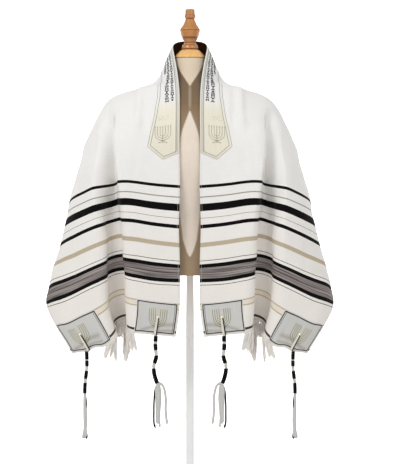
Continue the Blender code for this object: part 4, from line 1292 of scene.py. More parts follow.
def make_corner(side, hand, patch, satin):
    """One corner square, with a round hole at its eyelet, its folds and their painted shade, and the
    distances its satin reads.
    """
    columns = int(round((patch.far - patch.near) / CORNER_STEP))
    rows = int(round((PATCH_BOTTOM - PATCH_TOP) / CORNER_STEP))
    reach = np.linspace(PATCH_TOP, PATCH_BOTTOM, rows + 1)[:, None] + np.zeros(columns + 1)
    across = np.linspace(patch.near, patch.far, columns + 1)[None] + np.zeros((rows + 1, 1))
    off = np.hypot(reach - EYELET_ALONG, across - patch.eyelet)
    inner, outer = EYELET_HOLE - CORNER_STEP * 0.8, EYELET_HOLE + CORNER_STEP * 0.55
    pull = np.where((off < outer) & (off > inner), EYELET_HOLE / np.maximum(off, 1e-6), 1)
    reach = EYELET_ALONG + (reach - EYELET_ALONG) * pull
    across = patch.eyelet + (across - patch.eyelet) * pull
    seam = across - patch.near
    edge = np.minimum.reduce([reach - PATCH_TOP, PATCH_BOTTOM - reach, seam, patch.far - across])
    shade = np.zeros_like(edge)
    eyelet = (EYELET_ALONG, patch.eyelet)
    for start, end, half_width in CORNER_FOLDS:
        away, _ = off_line(reach, across, np.add(eyelet, start), np.add(eyelet, end))
        shade = np.maximum(shade, bell(away / half_width))
    lift = CORNER_LIFT - 0.8 * (1 - ease(edge / 2.5)) + CORNER_FOLD_RISE * shade * ease(edge / 8)
    lift = lift - 0.5 * bell((off - EYELET_HOLE) / 2.5)
    uvs = np.stack([across, side * reach], -1) * MM
    points, faces, uvs = sheet(CLOTH.at(side * reach, across, lift), uvs, turned=side < 0)
    whole = (off.ravel()[faces] >= outer).any(axis=1)
    corner = new_piece(f"corner_{hand}_{patch.place}", (points, faces[whole], uvs[whole]), satin)
    give_numbers(corner, edge_distance=edge * MM, seam_distance=seam * MM, fold_shade=shade)
    merge(corner)
    give_wall(corner, CORNER_WALL)
    keep(corner, "patch_satin", f"corner_patch_{hand}_{patch.place}")


def make_corners(settings):
    """The four corner squares, each with its arcs of gold thread, dark olive threads beside them as painted
    shadow, and a worked eyelet.
    """
    satin = corner_material(settings)
    gold = thread_material("gold_thread", settings.gold, 0.5, 0.3)
    olive = thread_material("olive_thread", settings.olive, 0.6, 0.3)
    for side, hand in SIDES:
        for patch in PATCHES:
            make_corner(side, hand, patch, satin)
            name = f"corner_{hand}_{patch.place}"
            # Gold arcs, and dark olive threads just outside them as painted shadow.
            for label, shift, thread, material in (
                ("arcs", 0, ARC_THREAD, gold), ("arc_edges", PATCH_ARM_SHADOW, ARC_SHADOW_THREAD, olive),
            ):
                plans = [
                    arm_plan(side, EYELET_ALONG, patch.eyelet, radius + shift, PATCH_ARM_TOP)
                    for radius in PATCH_ARMS
                ]
                lift = CORNER_LIFT + PATCH_THREAD_LIFT
                threads = joined([laid_thread(plan, lift, thread) for plan in plans])
                keep(new_piece(f"{name}_{label}", threads, material), "patch_satin")
            ring = worked_ring(side * EYELET_ALONG, patch.eyelet)
            keep(new_piece(f"{name}_eyelet", ring, gold), "patch_satin")


def worked_ring(along, across, stitches=22, sides=8):
    """A ring round an eyelet, worked over with close stitches."""
    centre, outwards, sideways, _ = CLOTH.read(along, across)
    downwards = np.cross(outwards, sideways)
    turn = 2 * np.pi * np.arange(stitches * 4)[:, None, None] / (stitches * 4)
    tilt = 2 * np.pi * np.arange(sides)[:, None] / sides
    bulge = 1 + 0.16 * np.cos(turn * stitches)
    reach = EYELET_HOLE + 0.5 + 1.3 * bulge * np.cos(tilt)
    lift = CORNER_LIFT + 0.2 + 0.7 * bulge * np.sin(tilt)
    points = centre + (sideways * np.cos(turn) + downwards * np.sin(turn)) * reach + outwards * lift
    number = np.arange(turn.size * sides).reshape(-1, sides)
    faces = cells(np.pad(number, ((0, 1), (0, 1)), "wrap"))[:, [0, 3, 2, 1]]
    uvs = np.broadcast_to(((0, 0), (MM, 0), (MM, MM), (0, MM)), (len(faces), 4, 2))
    return points.reshape(-1, 3), faces, uvs


def turned_shape(profile, foot, steps=96, rounds=2):
    """A solid of revolution about the upright axis, its profile's corners softened by cutting them."""
    line = np.array([(0, profile[0][1]), *profile, (0, profile[-1][1])], float)
    for _ in range(rounds):
        first, second = line[:-1] * 0.85 + line[1:] * 0.15, line[:-1] * 0.15 + line[1:] * 0.85
        cut = np.stack([first, second], 1).reshape(-1, 2)
        line = np.concatenate([line[:1], cut[1:-1], line[-1:]])
    angles = 2 * np.pi * np.arange(steps) / steps
    points, rows = [], []
    for radius, height in line:
        row = [(radius * math.cos(a), radius * math.sin(a), foot + height) for a in angles]
        row = row if radius > 1e-6 else row[:1]
        rows.append([len(points) + k % len(row) for k in range(steps + 1)])
        points += row
    faces = []
    for upper, lower in zip(rows, rows[1:]):
        for k in range(steps):
            faces.append(tuple(dict.fromkeys((upper[k], lower[k], lower[k + 1], upper[k + 1]))))
    return np.array(points), faces, [((0, 0),) * len(face) for face in faces]


def form_shape(steps=144, level_step=5):
    """The form's body: ovals at each height, with its levels softened into each other."""
    low, high = FORM_TABLE[0, 0], FORM_TABLE[-1, 0]
    heights = np.linspace(low, high, int((high - low) / level_step) + 1)
    fine = np.arange(low - 40, high + 41)
    soft = bell(np.arange(-20, 21) / 6)
    straight = read_rows(fine, FORM_TABLE[:, 0], FORM_TABLE[:, 1:]).T
    measures = [np.convolve(column, soft / soft.sum(), "same") for column in straight]
    half_width, front, back = read_rows(heights, fine, np.transpose(measures)).T[..., None]
    turn = 2 * np.pi * np.arange(steps) / steps
    depth = np.where(np.sin(turn) < 0, front, back)
    ring = np.broadcast_arrays(half_width * np.cos(turn), depth * np.sin(turn), heights[:, None])
    return ringed(np.stack(ring, -1))


def make_form(settings):
    """The covered body, its wooden cap and finial, and the stand under it."""
    paint = paint_material(settings)
    cap = wood_material(settings, "cap_wood", settings.cap_wood, CAP_GROOVES)
    finial = wood_material(settings, "finial_wood", settings.finial_wood, FINIAL_GROOVES_AND_SHADE)
    pole = turned_shape(((POLE_RADIUS, POLE_TOP - POLE_FOOT), (POLE_RADIUS, 0)), POLE_FOOT, 64, 1)
    for name, shape, sharp, material, slot, node in (
        ("form_cover", form_shape(), 40, cover_material(settings), "form_cover", "form_torso"),
        ("neck_cap", turned_shape(CAP_PROFILE, CAP_FOOT), 50, cap, "cap_wood", "form_neck_cap"),
        ("finial", turned_shape(FINIAL_PROFILE, FINIAL_FOOT), 50, finial, "finial_wood", "form_finial"),
        ("stand_foot", turned_shape(BASE_PROFILE, 0, 128), 40, paint, "stand_paint", "stand_base"),
        ("stand_post", pole, 40, paint, "stand_paint", "stand_pole"),
    ):
        keep(new_piece(name, shape, material, sharp), slot, node)


def grown(name, carrier, tree, values):
    """The plain mesh piece that a tree grows on a carrier mesh with values for its named inputs."""
    holder = placed(f"{name}_carrier", carrier)
    modifier = holder.modifiers.new(tree.name, "NODES")
    modifier.node_group = tree
    for item in tree.interface.items_tree:
        if getattr(item, "in_out", "") == "INPUT" and item.name in values:
            modifier[item.identifier] = values[item.name]
    bpy.context.view_layer.update()
    mesh = bpy.data.meshes.new_from_object(holder.evaluated_get(bpy.context.evaluated_depsgraph_get()))
    mesh.name = name
    bpy.data.objects.remove(holder)
    return placed(name, mesh)


def carrier_mesh(name, lines, loose=False, **vectors):
    """Points in millimetres, joined along lines or loose, with a vector of each name at each point."""
    edges, start = [], 0
    for line in lines:
        edges += [] if loose else [(start + i, start + i + 1) for i in range(len(line) - 1)]
        start += len(line)
    mesh = bpy.data.meshes.new(name)
    mesh.from_pydata((np.concatenate(lines) * MM).tolist(), edges, [])
    for label, values in vectors.items():
        layer = mesh.attributes.new(label, "FLOAT_VECTOR", "POINT")
        layer.data.foreach_set("vector", np.concatenate(values).astype(np.float32).ravel())
    return mesh


class GeometryNodes(Nodes):
    """The nodes of a tree that grows a piece on a carrier mesh."""

    def geo(self, kind, values=None, output=0, **settings):
        return self.out(f"GeometryNode{kind}", values, output, **settings)

    def named(self, label, kind="FLOAT_VECTOR"):
        return self.geo("InputNamedAttribute", {"Name": label}, data_type=kind)

    def facing(self, ahead, out):
        """The turn that lays X ahead and Z outwards."""
        values = {"Primary Axis": ahead, "Secondary Axis": out}
        return self.out("FunctionNodeAxesToRotation", values, primary_axis="X", secondary_axis="Z")

    def swept(self, lines, radius, sides):
        """Lines as round threads."""
        section = self.geo("CurvePrimitiveCircle", {"Resolution": sides, "Radius": radius})
        return self.geo("CurveToMesh", {"Curve": lines, "Profile Curve": section, "Fill Caps": True})

    def finish(self, geometry, given, result, smooth=True):
        """End a tree: real geometry, with its material."""
        real = self.geo("RealizeInstances", {"Geometry": geometry})
        if smooth:
            real = self.geo("SetShadeSmooth", {"Geometry": real})
        dressed = self.geo("SetMaterial", {"Geometry": real, "Material": given["Material"]})
        self.feeds(result, Geometry=dressed)
        return self.tree


def growing_tree(name, **inputs):
    """A growing tree's nodes, its inputs and its result."""
    named = {label.replace("_", " "): value for label, value in inputs.items()}
    kinds = {"Geometry": "Geometry", **named, "Material": "Material"}
    return new_tree(name, "GeometryNodeTree", kinds, {"Geometry": "Geometry"}, GeometryNodes)


def stitch_row():
    """Short raised stitches set one after another along lines that lie on the cloth."""
    n, given, result = growing_tree("stitch_row", Step=0.003, Length=0.002, Thread=0.0004, Slant=0.0)
    lines = n.geo("MeshToCurve", {"Mesh": given["Geometry"]})
    places = n.place("GeometryNodeCurveToPoints", {"Curve": lines, "Length": given["Step"]}, mode="LENGTH")
    places = n.fields(places.outputs)
    lean = n.out("FunctionNodeEulerToRotation", {0: n.join(0, given["Slant"])})
    half = given["Length"] / 2
    arch = n.geo("CurvePrimitiveBezierSegment", {
        "Resolution": 4, "Start": n.join(half * -1, 0),
        "Start Handle": n.join(half * -0.7, 0, given["Thread"]),
        "End Handle": n.join(half * 0.7, 0, given["Thread"]), "End": n.join(half, 0),
    })
    turned = n.out("FunctionNodeRotateRotation", {
        "Rotation": n.facing(places["Tangent"], n.named("out")), "Rotate By": lean,
    }, rotation_space="LOCAL")
    stitches = n.geo("InstanceOnPoints", {
        "Points": places["Points"], "Instance": n.swept(arch, given["Thread"], 5), "Rotation": turned,
    })
    return n.finish(stitches, given, result)


def motif_row():
    """Small woven figures, each at its own point and of the kind and size that the point names."""
    n, given, result = growing_tree("motif_row", Scale=1.0)
    figures = []
    for blocks in MOTIF_FIGURES:
        join = n.place("GeometryNodeJoinGeometry")
        for x, y, length, width, turn in blocks:
            cube = n.geo("MeshCube", {"Size": n.join(length, width, 1)})
            values = {"Geometry": cube, "Translation": (x, y, 0), "Rotation": (0, 0, turn)}
            n.feed(join.inputs[0], n.geo("Transform", values))
        figures.append(Field(n, join.outputs[0]))
    gather = n.place("GeometryNodeGeometryToInstance")
    for figure in reversed(figures):
        n.feed(gather.inputs[0], figure)
    chosen, _, _ = n.split(n.named("kind"))
    motifs = n.geo("InstanceOnPoints", {
        "Points": given["Geometry"], "Instance": Field(n, gather.outputs[0]), "Pick Instance": True,
        "Instance Index": chosen, "Rotation": n.facing(n.named("ahead"), n.named("out")),
        "Scale": n.scaled(n.named("size"), given["Scale"]),
    })
    return n.finish(motifs, given, result, smooth=False)


def wound_cord():
    """A cord wound closely round a core that follows lines."""
    n, given, result = growing_tree(
        "wound_cord", Core_radius=0.0036, Cord_radius=0.0009, Pitch=0.0021, Steps_a_turn=14.0,
    )
    lines = n.geo("MeshToCurve", {"Mesh": given["Geometry"]})
    step = given["Pitch"] / given["Steps a turn"]
    fine = n.geo("ResampleCurve", {"Curve": lines, "Length": step}, mode="LENGTH")
    turn = n.geo("SplineParameter", None, "Length") / given["Pitch"] * (2 * math.pi)
    ahead = n.geo("InputTangent")
    first = n.vector("NORMALIZE", n.vector("CROSS_PRODUCT", ahead, (0, 1, 0)))
    second = n.vector("CROSS_PRODUCT", ahead, first)
    reach = given["Core radius"] + given["Cord radius"]
    offset = n.vector("ADD", n.scaled(first, n.math("COSINE", turn) * reach),
                      n.scaled(second, n.math("SINE", turn) * reach))
    wound = n.geo("SetPosition", {"Geometry": fine, "Offset": offset})
    return n.finish(n.swept(wound, given["Cord radius"], 6), given, result)


def yarn_locks():
    """Locks of loose yarn: every guide line becomes many fine threads that close up towards its tip."""
    n, given, result = growing_tree(
        "yarn_locks", Threads=16, Thread_radius=0.0004, Wave=0.0012, Flatness=0.5, Seed=3,
    )
    lines = n.geo("MeshToCurve", {"Mesh": given["Geometry"]})
    many = n.geo("DuplicateElements", {"Geometry": lines, "Amount": given["Threads"]}, domain="SPLINE")
    index = n.geo("FieldOnDomain", {0: n.geo("InputIndex")}, domain="CURVE", data_type="INT")
    values = {"Geometry": many, "Name": "thread", "Value": index}
    kept = n.geo("StoreNamedAttribute", values, data_type="INT", domain="POINT")
    thread = n.named("thread", "INT")

    def chance(low, high, add):
        # The node's own sockets for plain numbers: its least and greatest value, its ID and its seed.
        values = {2: low, 3: high, 7: thread, 8: given["Seed"] + add}
        return n.out("FunctionNodeRandomValue", values, 1, data_type="FLOAT")

    share = n.geo("SplineParameter", None, "Factor")
    wide = n.named("wide")
    deep = n.scaled(n.vector("CROSS_PRODUCT", (0, 0, 1), wide), given["Flatness"])
    spread = n.curve(share, ((0, 0.9), (0.25, 1), (0.6, 0.78), (0.9, 0.6), (1, 0.42)))
    sideways = chance(-1, 1, 0) * spread
    forward = chance(-1, 1, 1) * spread
    turn = share * chance(5, 9, 2) + chance(0, 6.28, 3)
    wave = n.math("SINE", turn) * given["Wave"] * share
    waved = n.scaled(n.vector("NORMALIZE", wide), wave)
    droop = n.join(0, 0, share * chance(-0.002, 0.007, 4) * share)
    spread_out = n.vector("ADD", n.scaled(wide, sideways), n.scaled(deep, forward))
    offset = n.vector("ADD", spread_out, n.vector("ADD", waved, droop))
    moved = n.geo("SetPosition", {"Geometry": kept, "Offset": offset})
    return n.finish(n.swept(moved, given["Thread radius"], 4), given, result)


def make_band_motifs(settings):
    """Rows of small dark woven figures along the band, on both sides of the neck."""
    points, ahead, out, kinds, sizes = [], [], [], [], []
    for number, row in enumerate(MOTIF_ROWS):
        places = np.arange(MOTIF_FROM + number * 3, row.end, row.step)
        count = np.arange(len(places))
        for side, _ in SIDES:
            at, outwards, _, lengthways = CLOTH.read(side * places, row.across)
            points.append(at + outwards * (BAND_LIFT + MOTIF_LIFT))
            ahead.append(lengthways * side)
            out.append(outwards)
            order = (count * 3 + number * 2 + (side < 0)) % len(MOTIF_FIGURES)
            kinds.append(np.stack([order, order * 0, order * 0], -1))
            uneven = 0.94 + 0.12 * ((count * 7 + number) % 5) / 4
            size = [uneven * row.length, uneven * row.width, uneven * 0 + MOTIF_DEPTH]
            sizes.append(np.stack(size, -1) * MM)
    carrier = carrier_mesh("motif_places", points, True, ahead=ahead, out=out, kind=kinds, size=sizes)
    thread = thread_material("motif_thread", settings.motif, 0.8, 0.3)
    keep(grown("band_motifs", carrier, motif_row(), {"Material": thread}), "atarah_cloth")


def make_stitching(settings):
    """Rows of stitches that hold the band, the corner squares and the hems."""
    plans = [(band_outline(BAND_STITCH_INSET), BAND_LIFT + 0.1)]
    for side, _ in SIDES:
        plans += [([(side * along, across) for along, across in row], STITCH_LIFT) for row in STITCH_ROWS]
        for patch in PATCHES:
            near, far = patch.near + STITCH_INSET, patch.far - STITCH_INSET
            top, bottom = side * (PATCH_TOP + STITCH_INSET), side * (PATCH_BOTTOM - STITCH_INSET)
            round_it = [(top, near), (top, far), (bottom, far), (bottom, near), (top, near)]
            plans.append((round_it, CORNER_LIFT - 0.3))
    start = STITCH_ROWS[0][0]
    plans.append(([np.multiply(start, (-1, 1)), start], STITCH_LIFT))
    lines, outs = zip(*[on_cloth(plan, lift, 4) for plan, lift in plans])
    values = {
        "Step": settings.stitch_step, "Length": settings.stitch_step * STITCH_SHARE,
        "Thread": STITCH_RADIUS * MM, "Material": yarn_material("sewing_thread", settings.thread, 0.1),
    }
    carrier = carrier_mesh("stitch_lines", lines, out=outs)
    keep(grown("stitching", carrier, stitch_row(), values), "shawl_wool")


def make_fringe(settings):
    """Locks of yarn along each front hem, between its corner squares, under a narrow woven strip."""
    yarn = yarn_material("fringe_yarn", settings.yarn)
    tree = yarn_locks()
    shares = np.linspace(0, 1, 9)[:, None]
    for side, hand in SIDES:
        lines, wides = [], []
        for lock in LOCKS:
            root, _, sideways, _ = CLOTH.read(side * (CLOTH_HALF_LENGTH - 1), lock.across)
            drift = np.array((-side * lock.sideways, lock.forward, 0))
            path = root + shares * (0, 0, -lock.length) + drift * shares**LOCK_DRIFT
            path[:, :1] += np.sin(shares * math.pi) * math.sin(lock.across) * LOCK_SWAY
            lines.append(path)
            width_way = unit(sideways * (1, 1, 0))
            wides.append(np.repeat(width_way[None] * lock.width * LOCK_FULLNESS * MM, len(shares), 0))
        piece = grown(f"fringe_locks_{hand}", carrier_mesh("lock_lines", lines, wide=wides), tree, {
            "Threads": settings.threads, "Thread radius": settings.thread_radius, "Seed": 3 + side,
            "Material": yarn,
        })
        keep(piece, "fringe_yarn", f"fringe_{hand}")
        hem = [(side * CLOTH_HALF_LENGTH, FRINGE_FROM), (side * CLOTH_HALF_LENGTH, FRINGE_TO)]
        strip = new_piece(f"fringe_heading_{hand}", laid_thread(hem, -0.4, HEADING_THREAD), yarn)
        keep(strip, "fringe_yarn", f"fringe_{hand}")


def loop_line(side, across, offset):
    """One cord of a loop: from in front of the hem up over the square, through its eyelet and down behind."""
    front = CORNER_LIFT + LOOP_RADIUS + 0.5
    back = -(LOOP_RADIUS + 1.8)
    lip = EYELET_ALONG
    middle = (front + back) / 2
    plan = (
        (CLOTH_HALF_LENGTH + 1, 1, front), (PATCH_BOTTOM, 1, front + 0.5),
        (UNDER_EYELET, 0.95, front + 0.2), (lip + 8, 0.8, front + 0.5), (lip + 3.2, 0.65, front + 0.4),
        (lip - 0.2, 0.5, middle + 1.2), (lip + 1, 0.5, back + 1), (lip + 6, 0.7, back - 0.2),
        (UNDER_EYELET, 0.9, back), (PATCH_BOTTOM, 1, back), (CLOTH_HALF_LENGTH + 1, 1, back),
    )
    along, share, lift = read_rows(np.linspace(0, len(plan) - 1, 61), np.arange(len(plan)), plan).T
    return smoothed(CLOTH.at(side * np.minimum(along, CLOTH_HALF_LENGTH), across + offset * share, lift), 4)


def head_line(top, tassel, side, shares):
    """The wound head's middle line under a place."""
    stops, sways = np.transpose(HEAD_SWAYS[tassel.place])
    shift = np.stack([side * spline(stops, sways, shares), 0 * shares, -tassel.head_length * shares], -1)
    return top + shift


def knot(centre, size, turn, thickness, sides, steps=40):
    """A tight overhand knot about a place."""
    t = np.linspace(0, 2 * np.pi, steps)
    x = np.sin(t) + 2 * np.sin(2 * t)
    y = np.cos(t) - 2 * np.cos(2 * t)
    z = -np.sin(3 * t)
    right, up = math.cos(turn), math.sin(turn)
    flat = np.stack([x * right - y * up, z * 1.4, x * up + y * right], -1)
    line = centre + flat * (size / 3, size / 3, size / 3.4)
    return tube(line, thickness, thickness, (0.3, 1, 0.2), sides)


def strand_shapes(strand, foot, side, turn):
    """A loose strand that hangs from the head's foot, and the knot at its tip."""
    stops = np.array(strand.path, float)
    order = run(stops)
    wanted = np.linspace(0, order[-1], 40)
    line = foot + smoothed(read_rows(wanted, order, stops), 6) * (side, 1, -1)
    radius = strand.radius * np.interp(wanted / order[-1], (0, 0.05, 0.95, 1), (0.8, 1, 1, 0.75))
    return [tube(line, radius, radius, CROSSWISE), knot(line[-3], TIP_KNOT, turn, TIP_KNOT_CORD, 6, 30)]


def make_tassels(settings):
    """The four tzitzit: a loop through each eyelet, a wound and knotted head, and loose strands."""
    cream = cord_material("tassel_cord", settings.cord)
    looped = cord_material("tassel_loop", settings.loop)
    dark = cord_material("tassel_dark_cord", settings.dark_cord)
    winding = yarn_material("tassel_winding", settings.winding, 0.3, 0.75)
    winder = wound_cord()
    for side, hand in SIDES:
        for tassel in TASSELS:
            name = f"tzitzit_{hand}_{tassel.place}"
            light, black, wound, knotted, loops = [], [], [], [], []
            hem, out, _, _ = CLOTH.read(side * CLOTH_HALF_LENGTH, tassel.across)
            top = hem - out + (-side * tassel.top_shift, 0, -tassel.drop)
            for offset, is_dark in LOOP_CORDS:
                line = loop_line(side, tassel.across, -offset * side)
                ends = np.multiply(LOOP_ENDS, (offset, 1, 1))
                line = smoothed(np.concatenate([top + ends, line, top + ends[::-1] * (1, -1, 1)]), 2)
                (black if is_dark else loops).append(tube(line, LOOP_RADIUS, LOOP_RADIUS, CROSSWISE))
            core = head_line(top, tassel, side, np.linspace(0, 1, 60))
            girth = settings.head_radius / MM * tassel.girth
            light.append(tube(core, girth - CORE_INSET, girth - CORE_INSET, CROSSWISE, 12))
            for start, end in WINDINGS[tassel.place]:
                wound.append(head_line(top, tassel, side, np.linspace(start, end, 12)))
            for i, share in enumerate(HEAD_KNOTS[tassel.place]):
                place = head_line(top, tassel, side, np.array([share]))[0]
                for turn, shift in HEAD_KNOT_TURNS:
                    centre = place + (0.8 * math.cos((turn + i) * 3), 0, shift)
                    knotted.append(knot(centre, HEAD_KNOT * tassel.girth, turn + i, HEAD_KNOT_CORD, 7))
            for i, strand in enumerate(STRANDS[tassel.place]):
                shapes = strand_shapes(strand, core[-1], side, i * 1.1)
                (black if strand.dark else light).extend(shapes)
            for label, shapes, material in (
                ("cords", light, cream), ("loops", loops, looped), ("dark", black, dark),
                ("knots", knotted, looped),
            ):
                keep(new_piece(f"{name}_{label}", joined(shapes), material), "tassel_cord", name)
            piece = grown(f"{name}_windings", carrier_mesh("winding_lines", wound), winder, {
                "Core radius": girth * MM - 2 * settings.winding_radius,
                "Cord radius": settings.winding_radius, "Pitch": settings.winding_radius * WINDING_PITCH,
                "Material": winding,
            })
            keep(piece, "tassel_cord", name)


def make_sweep(settings):
    """A pale sheet of paper under the object and up behind it."""
    turns = np.linspace(0, math.pi / 2, 13)[1:]
    bend = [(SWEEP_BACK + math.sin(t) * SWEEP_BEND, (1 - math.cos(t)) * SWEEP_BEND) for t in turns]
    profile = [(-SWEEP_HALF, 0), (SWEEP_BACK, 0), *bend, (SWEEP_BACK + SWEEP_BEND, SWEEP_TOP)]
    points = [(x, y, z - 0.0005) for x in (-SWEEP_HALF, SWEEP_HALF) for y, z in profile]
    count = len(profile)
    mesh = bpy.data.meshes.new("studio_sweep")
    mesh.from_pydata(points, [], [(i, count + i, count + i + 1, i + 1) for i in range(count - 1)])
    mesh.shade_smooth()
    material, n, into = new_material("sweep_paper", Roughness=0.9, Emission_Color=settings.paper)
    place = n.in_space()
    fibre = n.group(soft_mottle(), Place=place, Large=3, Small=300, Amount=0.01)["Shade"]
    _, y, _ = n.split(place)
    glow = n.between(y, *SWEEP_GLOW) * settings.glow
    n.feeds(into, Base_Color=n.tinted(settings.paper, fibre), Emission_Strength=glow)
    mesh.materials.append(material)
    placed("studio_sweep", mesh)


def make_stage(settings):
    """The sweep, a soft room light, two large lamps and the camera."""
    make_sweep(settings)
    scene = bpy.context.scene
    scene.world = bpy.data.worlds.new("soft_room")
    scene.world.use_nodes = True
    background = scene.world.node_tree.nodes["Background"].inputs
    background["Color"].default_value = rgba((1, 1, 1))
    background["Strength"].default_value = settings.room
    for name, place, size, power in (
        ("key_lamp", KEY_PLACE, 1.2, settings.key), ("fill_lamp", FILL_PLACE, 2.2, settings.fill),
    ):
        lamp = bpy.data.lights.new(name, "AREA")
        lamp.shape = "SQUARE"
        lamp.size = size
        lamp.energy = power
        thing = placed(name, lamp)
        thing.location = place
        away = unit(np.subtract(place, LAMPS_AIM))
        thing.rotation_euler = (math.acos(away[2]), 0, math.atan2(away[1], away[0]) + math.pi / 2)
    lens = bpy.data.cameras.new("front_view")
    lens.lens = LENS
    lens.sensor_width = 36
    lens.clip_end = 60
    scene.camera = placed("front_view", lens)
    scene.camera.location = CAMERA_PLACE
    scene.camera.rotation_euler = (math.radians(90), 0, 0)
    scene.view_settings.view_transform = "Standard"


def tint(red, green, blue):
    """A colour given in screen values, as the linear values that materials use."""
    shares = [value / 255 for value in (red, green, blue)]
    return tuple(s / 12.92 if s <= 0.04045 else ((s + 0.055) / 1.055) ** 2.4 for s in shares)


def colour_setting(name, description, *screen):
    return bpy.props.FloatVectorProperty(
        name=name, description=description, default=tint(*screen), size=3, subtype="COLOR", min=0, max=1,
    )


def length_setting(name, description, default, low, high):
    return bpy.props.FloatProperty(
        name=name, description=description, default=default, min=low, max=high, precision=5,
        subtype="DISTANCE", unit="LENGTH",
    )


def number_setting(name, description, default, low=0, high=1):
    return bpy.props.FloatProperty(name=name, description=description, default=default, min=low, max=high)


class ShawlSettings(bpy.types.PropertyGroup):
    """The woven cloth, its stripes and its fringe."""

    thickness: length_setting("Thickness", "Thickness of the cloth", 0.0009, 0.0003, 0.002)
    weave_pitch: length_setting("Weave", "Distance from thread to thread", 0.0011, 0.0004, 0.003)
    stitch_step: length_setting("Stitch step", "Distance from stitch to stitch", 0.0032, 0.002, 0.01)
    wool: colour_setting("Wool", "Ground of the cloth", 243, 241, 238)
    # A darker, warmer tint towards both ends of the wool.
    end_tint: colour_setting("Tint of the ends", "Colour that the wool takes towards its ends", 253, 250, 246)
    black: colour_setting("Black stripe", "Broad dark stripes", 9, 7, 8)
    slate: colour_setting("Slate stripe", "Narrow dark stripes", 74, 65, 62)
    grey: colour_setting("Grey line", "Thin grey lines", 160, 155, 149)
    gold: colour_setting("Gold line", "Thin gold lines", 198, 185, 165)
    pale_gold: colour_setting("Pale gold", "Ground between the gold lines", 237, 230, 218)
    gold_band: colour_setting("Gold band", "Broad gold stripe", 194, 181, 158)
    heather: colour_setting("Heather band", "Mixed grey ground between the black stripes", 146, 139, 138)
    # Dark brown laid inside the back of the neck.
    facing: colour_setting("Facing", "Facing inside the back of the neck", 92, 60, 30)
    thread: colour_setting("Sewing thread", "Thread of the hems", 232, 228, 222)
    yarn: colour_setting("Fringe yarn", "Yarn of the fringe", 251, 246, 240)
    threads: bpy.props.IntProperty(
        name="Threads", description="Threads in each lock", default=40, min=4, max=60,
    )
    thread_radius: length_setting("Thread radius", "Radius of a fringe thread", 0.0008, 0.0002, 0.002)


class BandSettings(bpy.types.PropertyGroup):
    """The band at the neck and the corner squares."""

    satin_pitch: length_setting("Satin pitch", "Distance from float to float", 0.0007, 0.0003, 0.002)
    ground: colour_setting("Ground", "Band beside the neck", 240, 239, 237)
    cream: colour_setting("Cream", "Band near its points", 236, 230, 211)
    line: colour_setting("Line", "Woven lines, border and lamps", 158, 154, 136)
    brocade: colour_setting("Brocade", "Faint scroll over each lamp", 205, 192, 166)
    motif: colour_setting("Figures", "Woven figures", 20, 19, 22)
    satin: colour_setting("Satin", "Corner squares", 208, 207, 203)
    border: colour_setting("Square border", "Border line of the corner squares", 12, 10, 10)
    # Painted shade laid along the folds of the corner squares.
    fold: colour_setting("Fold", "Warm shade in the folds of the corner squares", 150, 139, 124)
    gold: colour_setting("Gold thread", "Arcs and eyelets", 234, 229, 202)
    # Painted shadow: dark threads beside each gold arc.
    olive: colour_setting("Olive thread", "Dark edges of the arcs", 134, 128, 102)


class TasselSettings(bpy.types.PropertyGroup):
    """The tzitzit."""

    head_radius: length_setting("Head radius", "Radius of the wound head", 0.0067, 0.003, 0.008)
    winding_radius: length_setting("Winding radius", "Radius of the winding cord", 0.0009, 0.0004, 0.002)
    cord: colour_setting("Cord", "Light cord of the strands", 212, 211, 208)
    loop: colour_setting("Loop", "Cream cord of the loops and knots", 242, 237, 222)
    dark_cord: colour_setting("Dark cord", "Dark cord", 20, 18, 19)
    winding: colour_setting("Winding", "Winding cord", 3, 3, 3)


class FormSettings(bpy.types.PropertyGroup):
    """The dress form and its stand."""

    knit_pitch: length_setting("Knit pitch", "Distance from rib to rib of the cover", 0.0012, 0.0005, 0.004)
    varnish: number_setting("Varnish", "Weight of the varnish on the wood", 0.5)
    grain_depth: number_setting("Grain depth", "How light the darkest grain stays", 0.78)
    panel_high: colour_setting("Neck panel", "Beige panel at the neck", 226, 209, 184)
    panel: colour_setting("Front panel", "Beige panel down the front", 238, 224, 208)
    # Painted shade: the cover at the neck, darkened for the collar's shadow.
    cover_high: colour_setting("Cover at the neck", "Darkest part of the cover", 120, 101, 78)
    # The cover's own tone with painted shadow of the shawl's edges.
    cover: colour_setting("Cover at the chest", "Middle part of the cover", 130, 106, 78)
    cover_low: colour_setting("Cover below", "Lower part of the cover", 163, 140, 112)
    cap_wood: colour_setting("Cap wood", "Pale varnished wood", 255, 200, 124)
    finial_wood: colour_setting("Finial wood", "Stained wood", 203, 136, 68)
    # Varnish in the grooves, and painted shade under the finial's bulb.
    groove: colour_setting("Groove", "Varnish gathered in the grooves", 96, 44, 14)
    paint: colour_setting("Stand paint", "Satin paint of the stand", 253, 253, 252)


class StageSettings(bpy.types.PropertyGroup):
    """The plain studio round the object."""

    paper: colour_setting("Paper", "Pale sweep", 250, 250, 250)
    glow: number_setting("Glow", "Light the sweep gives off by itself", 1, 0, 4)
    room: number_setting("Room light", "Soft light from all round", 0.545, 0, 4)
    key: number_setting("Key lamp", "Power of the main lamp", 48, 0, 1000)
    fill: number_setting("Fill lamp", "Power of the second lamp", 27, 0, 1000)


class TallitSettings(bpy.types.PropertyGroup):
    """All settings of the object."""

    shawl: bpy.props.PointerProperty(name="Shawl", type=ShawlSettings)
    band: bpy.props.PointerProperty(name="Band", type=BandSettings)
    tassels: bpy.props.PointerProperty(name="Tassels", type=TasselSettings)
    form: bpy.props.PointerProperty(name="Form", type=FormSettings)
    stage: bpy.props.PointerProperty(name="Stage", type=StageSettings)


class TALLIT_OT_shawl(bpy.types.Operator):
    """Make the woven cloth on its fold lines"""

    bl_idname = "tallit.shawl"
    bl_label = "Shawl"

    def execute(self, context):
        make_shawl(context.scene.tallit.shawl)
        return {"FINISHED"}


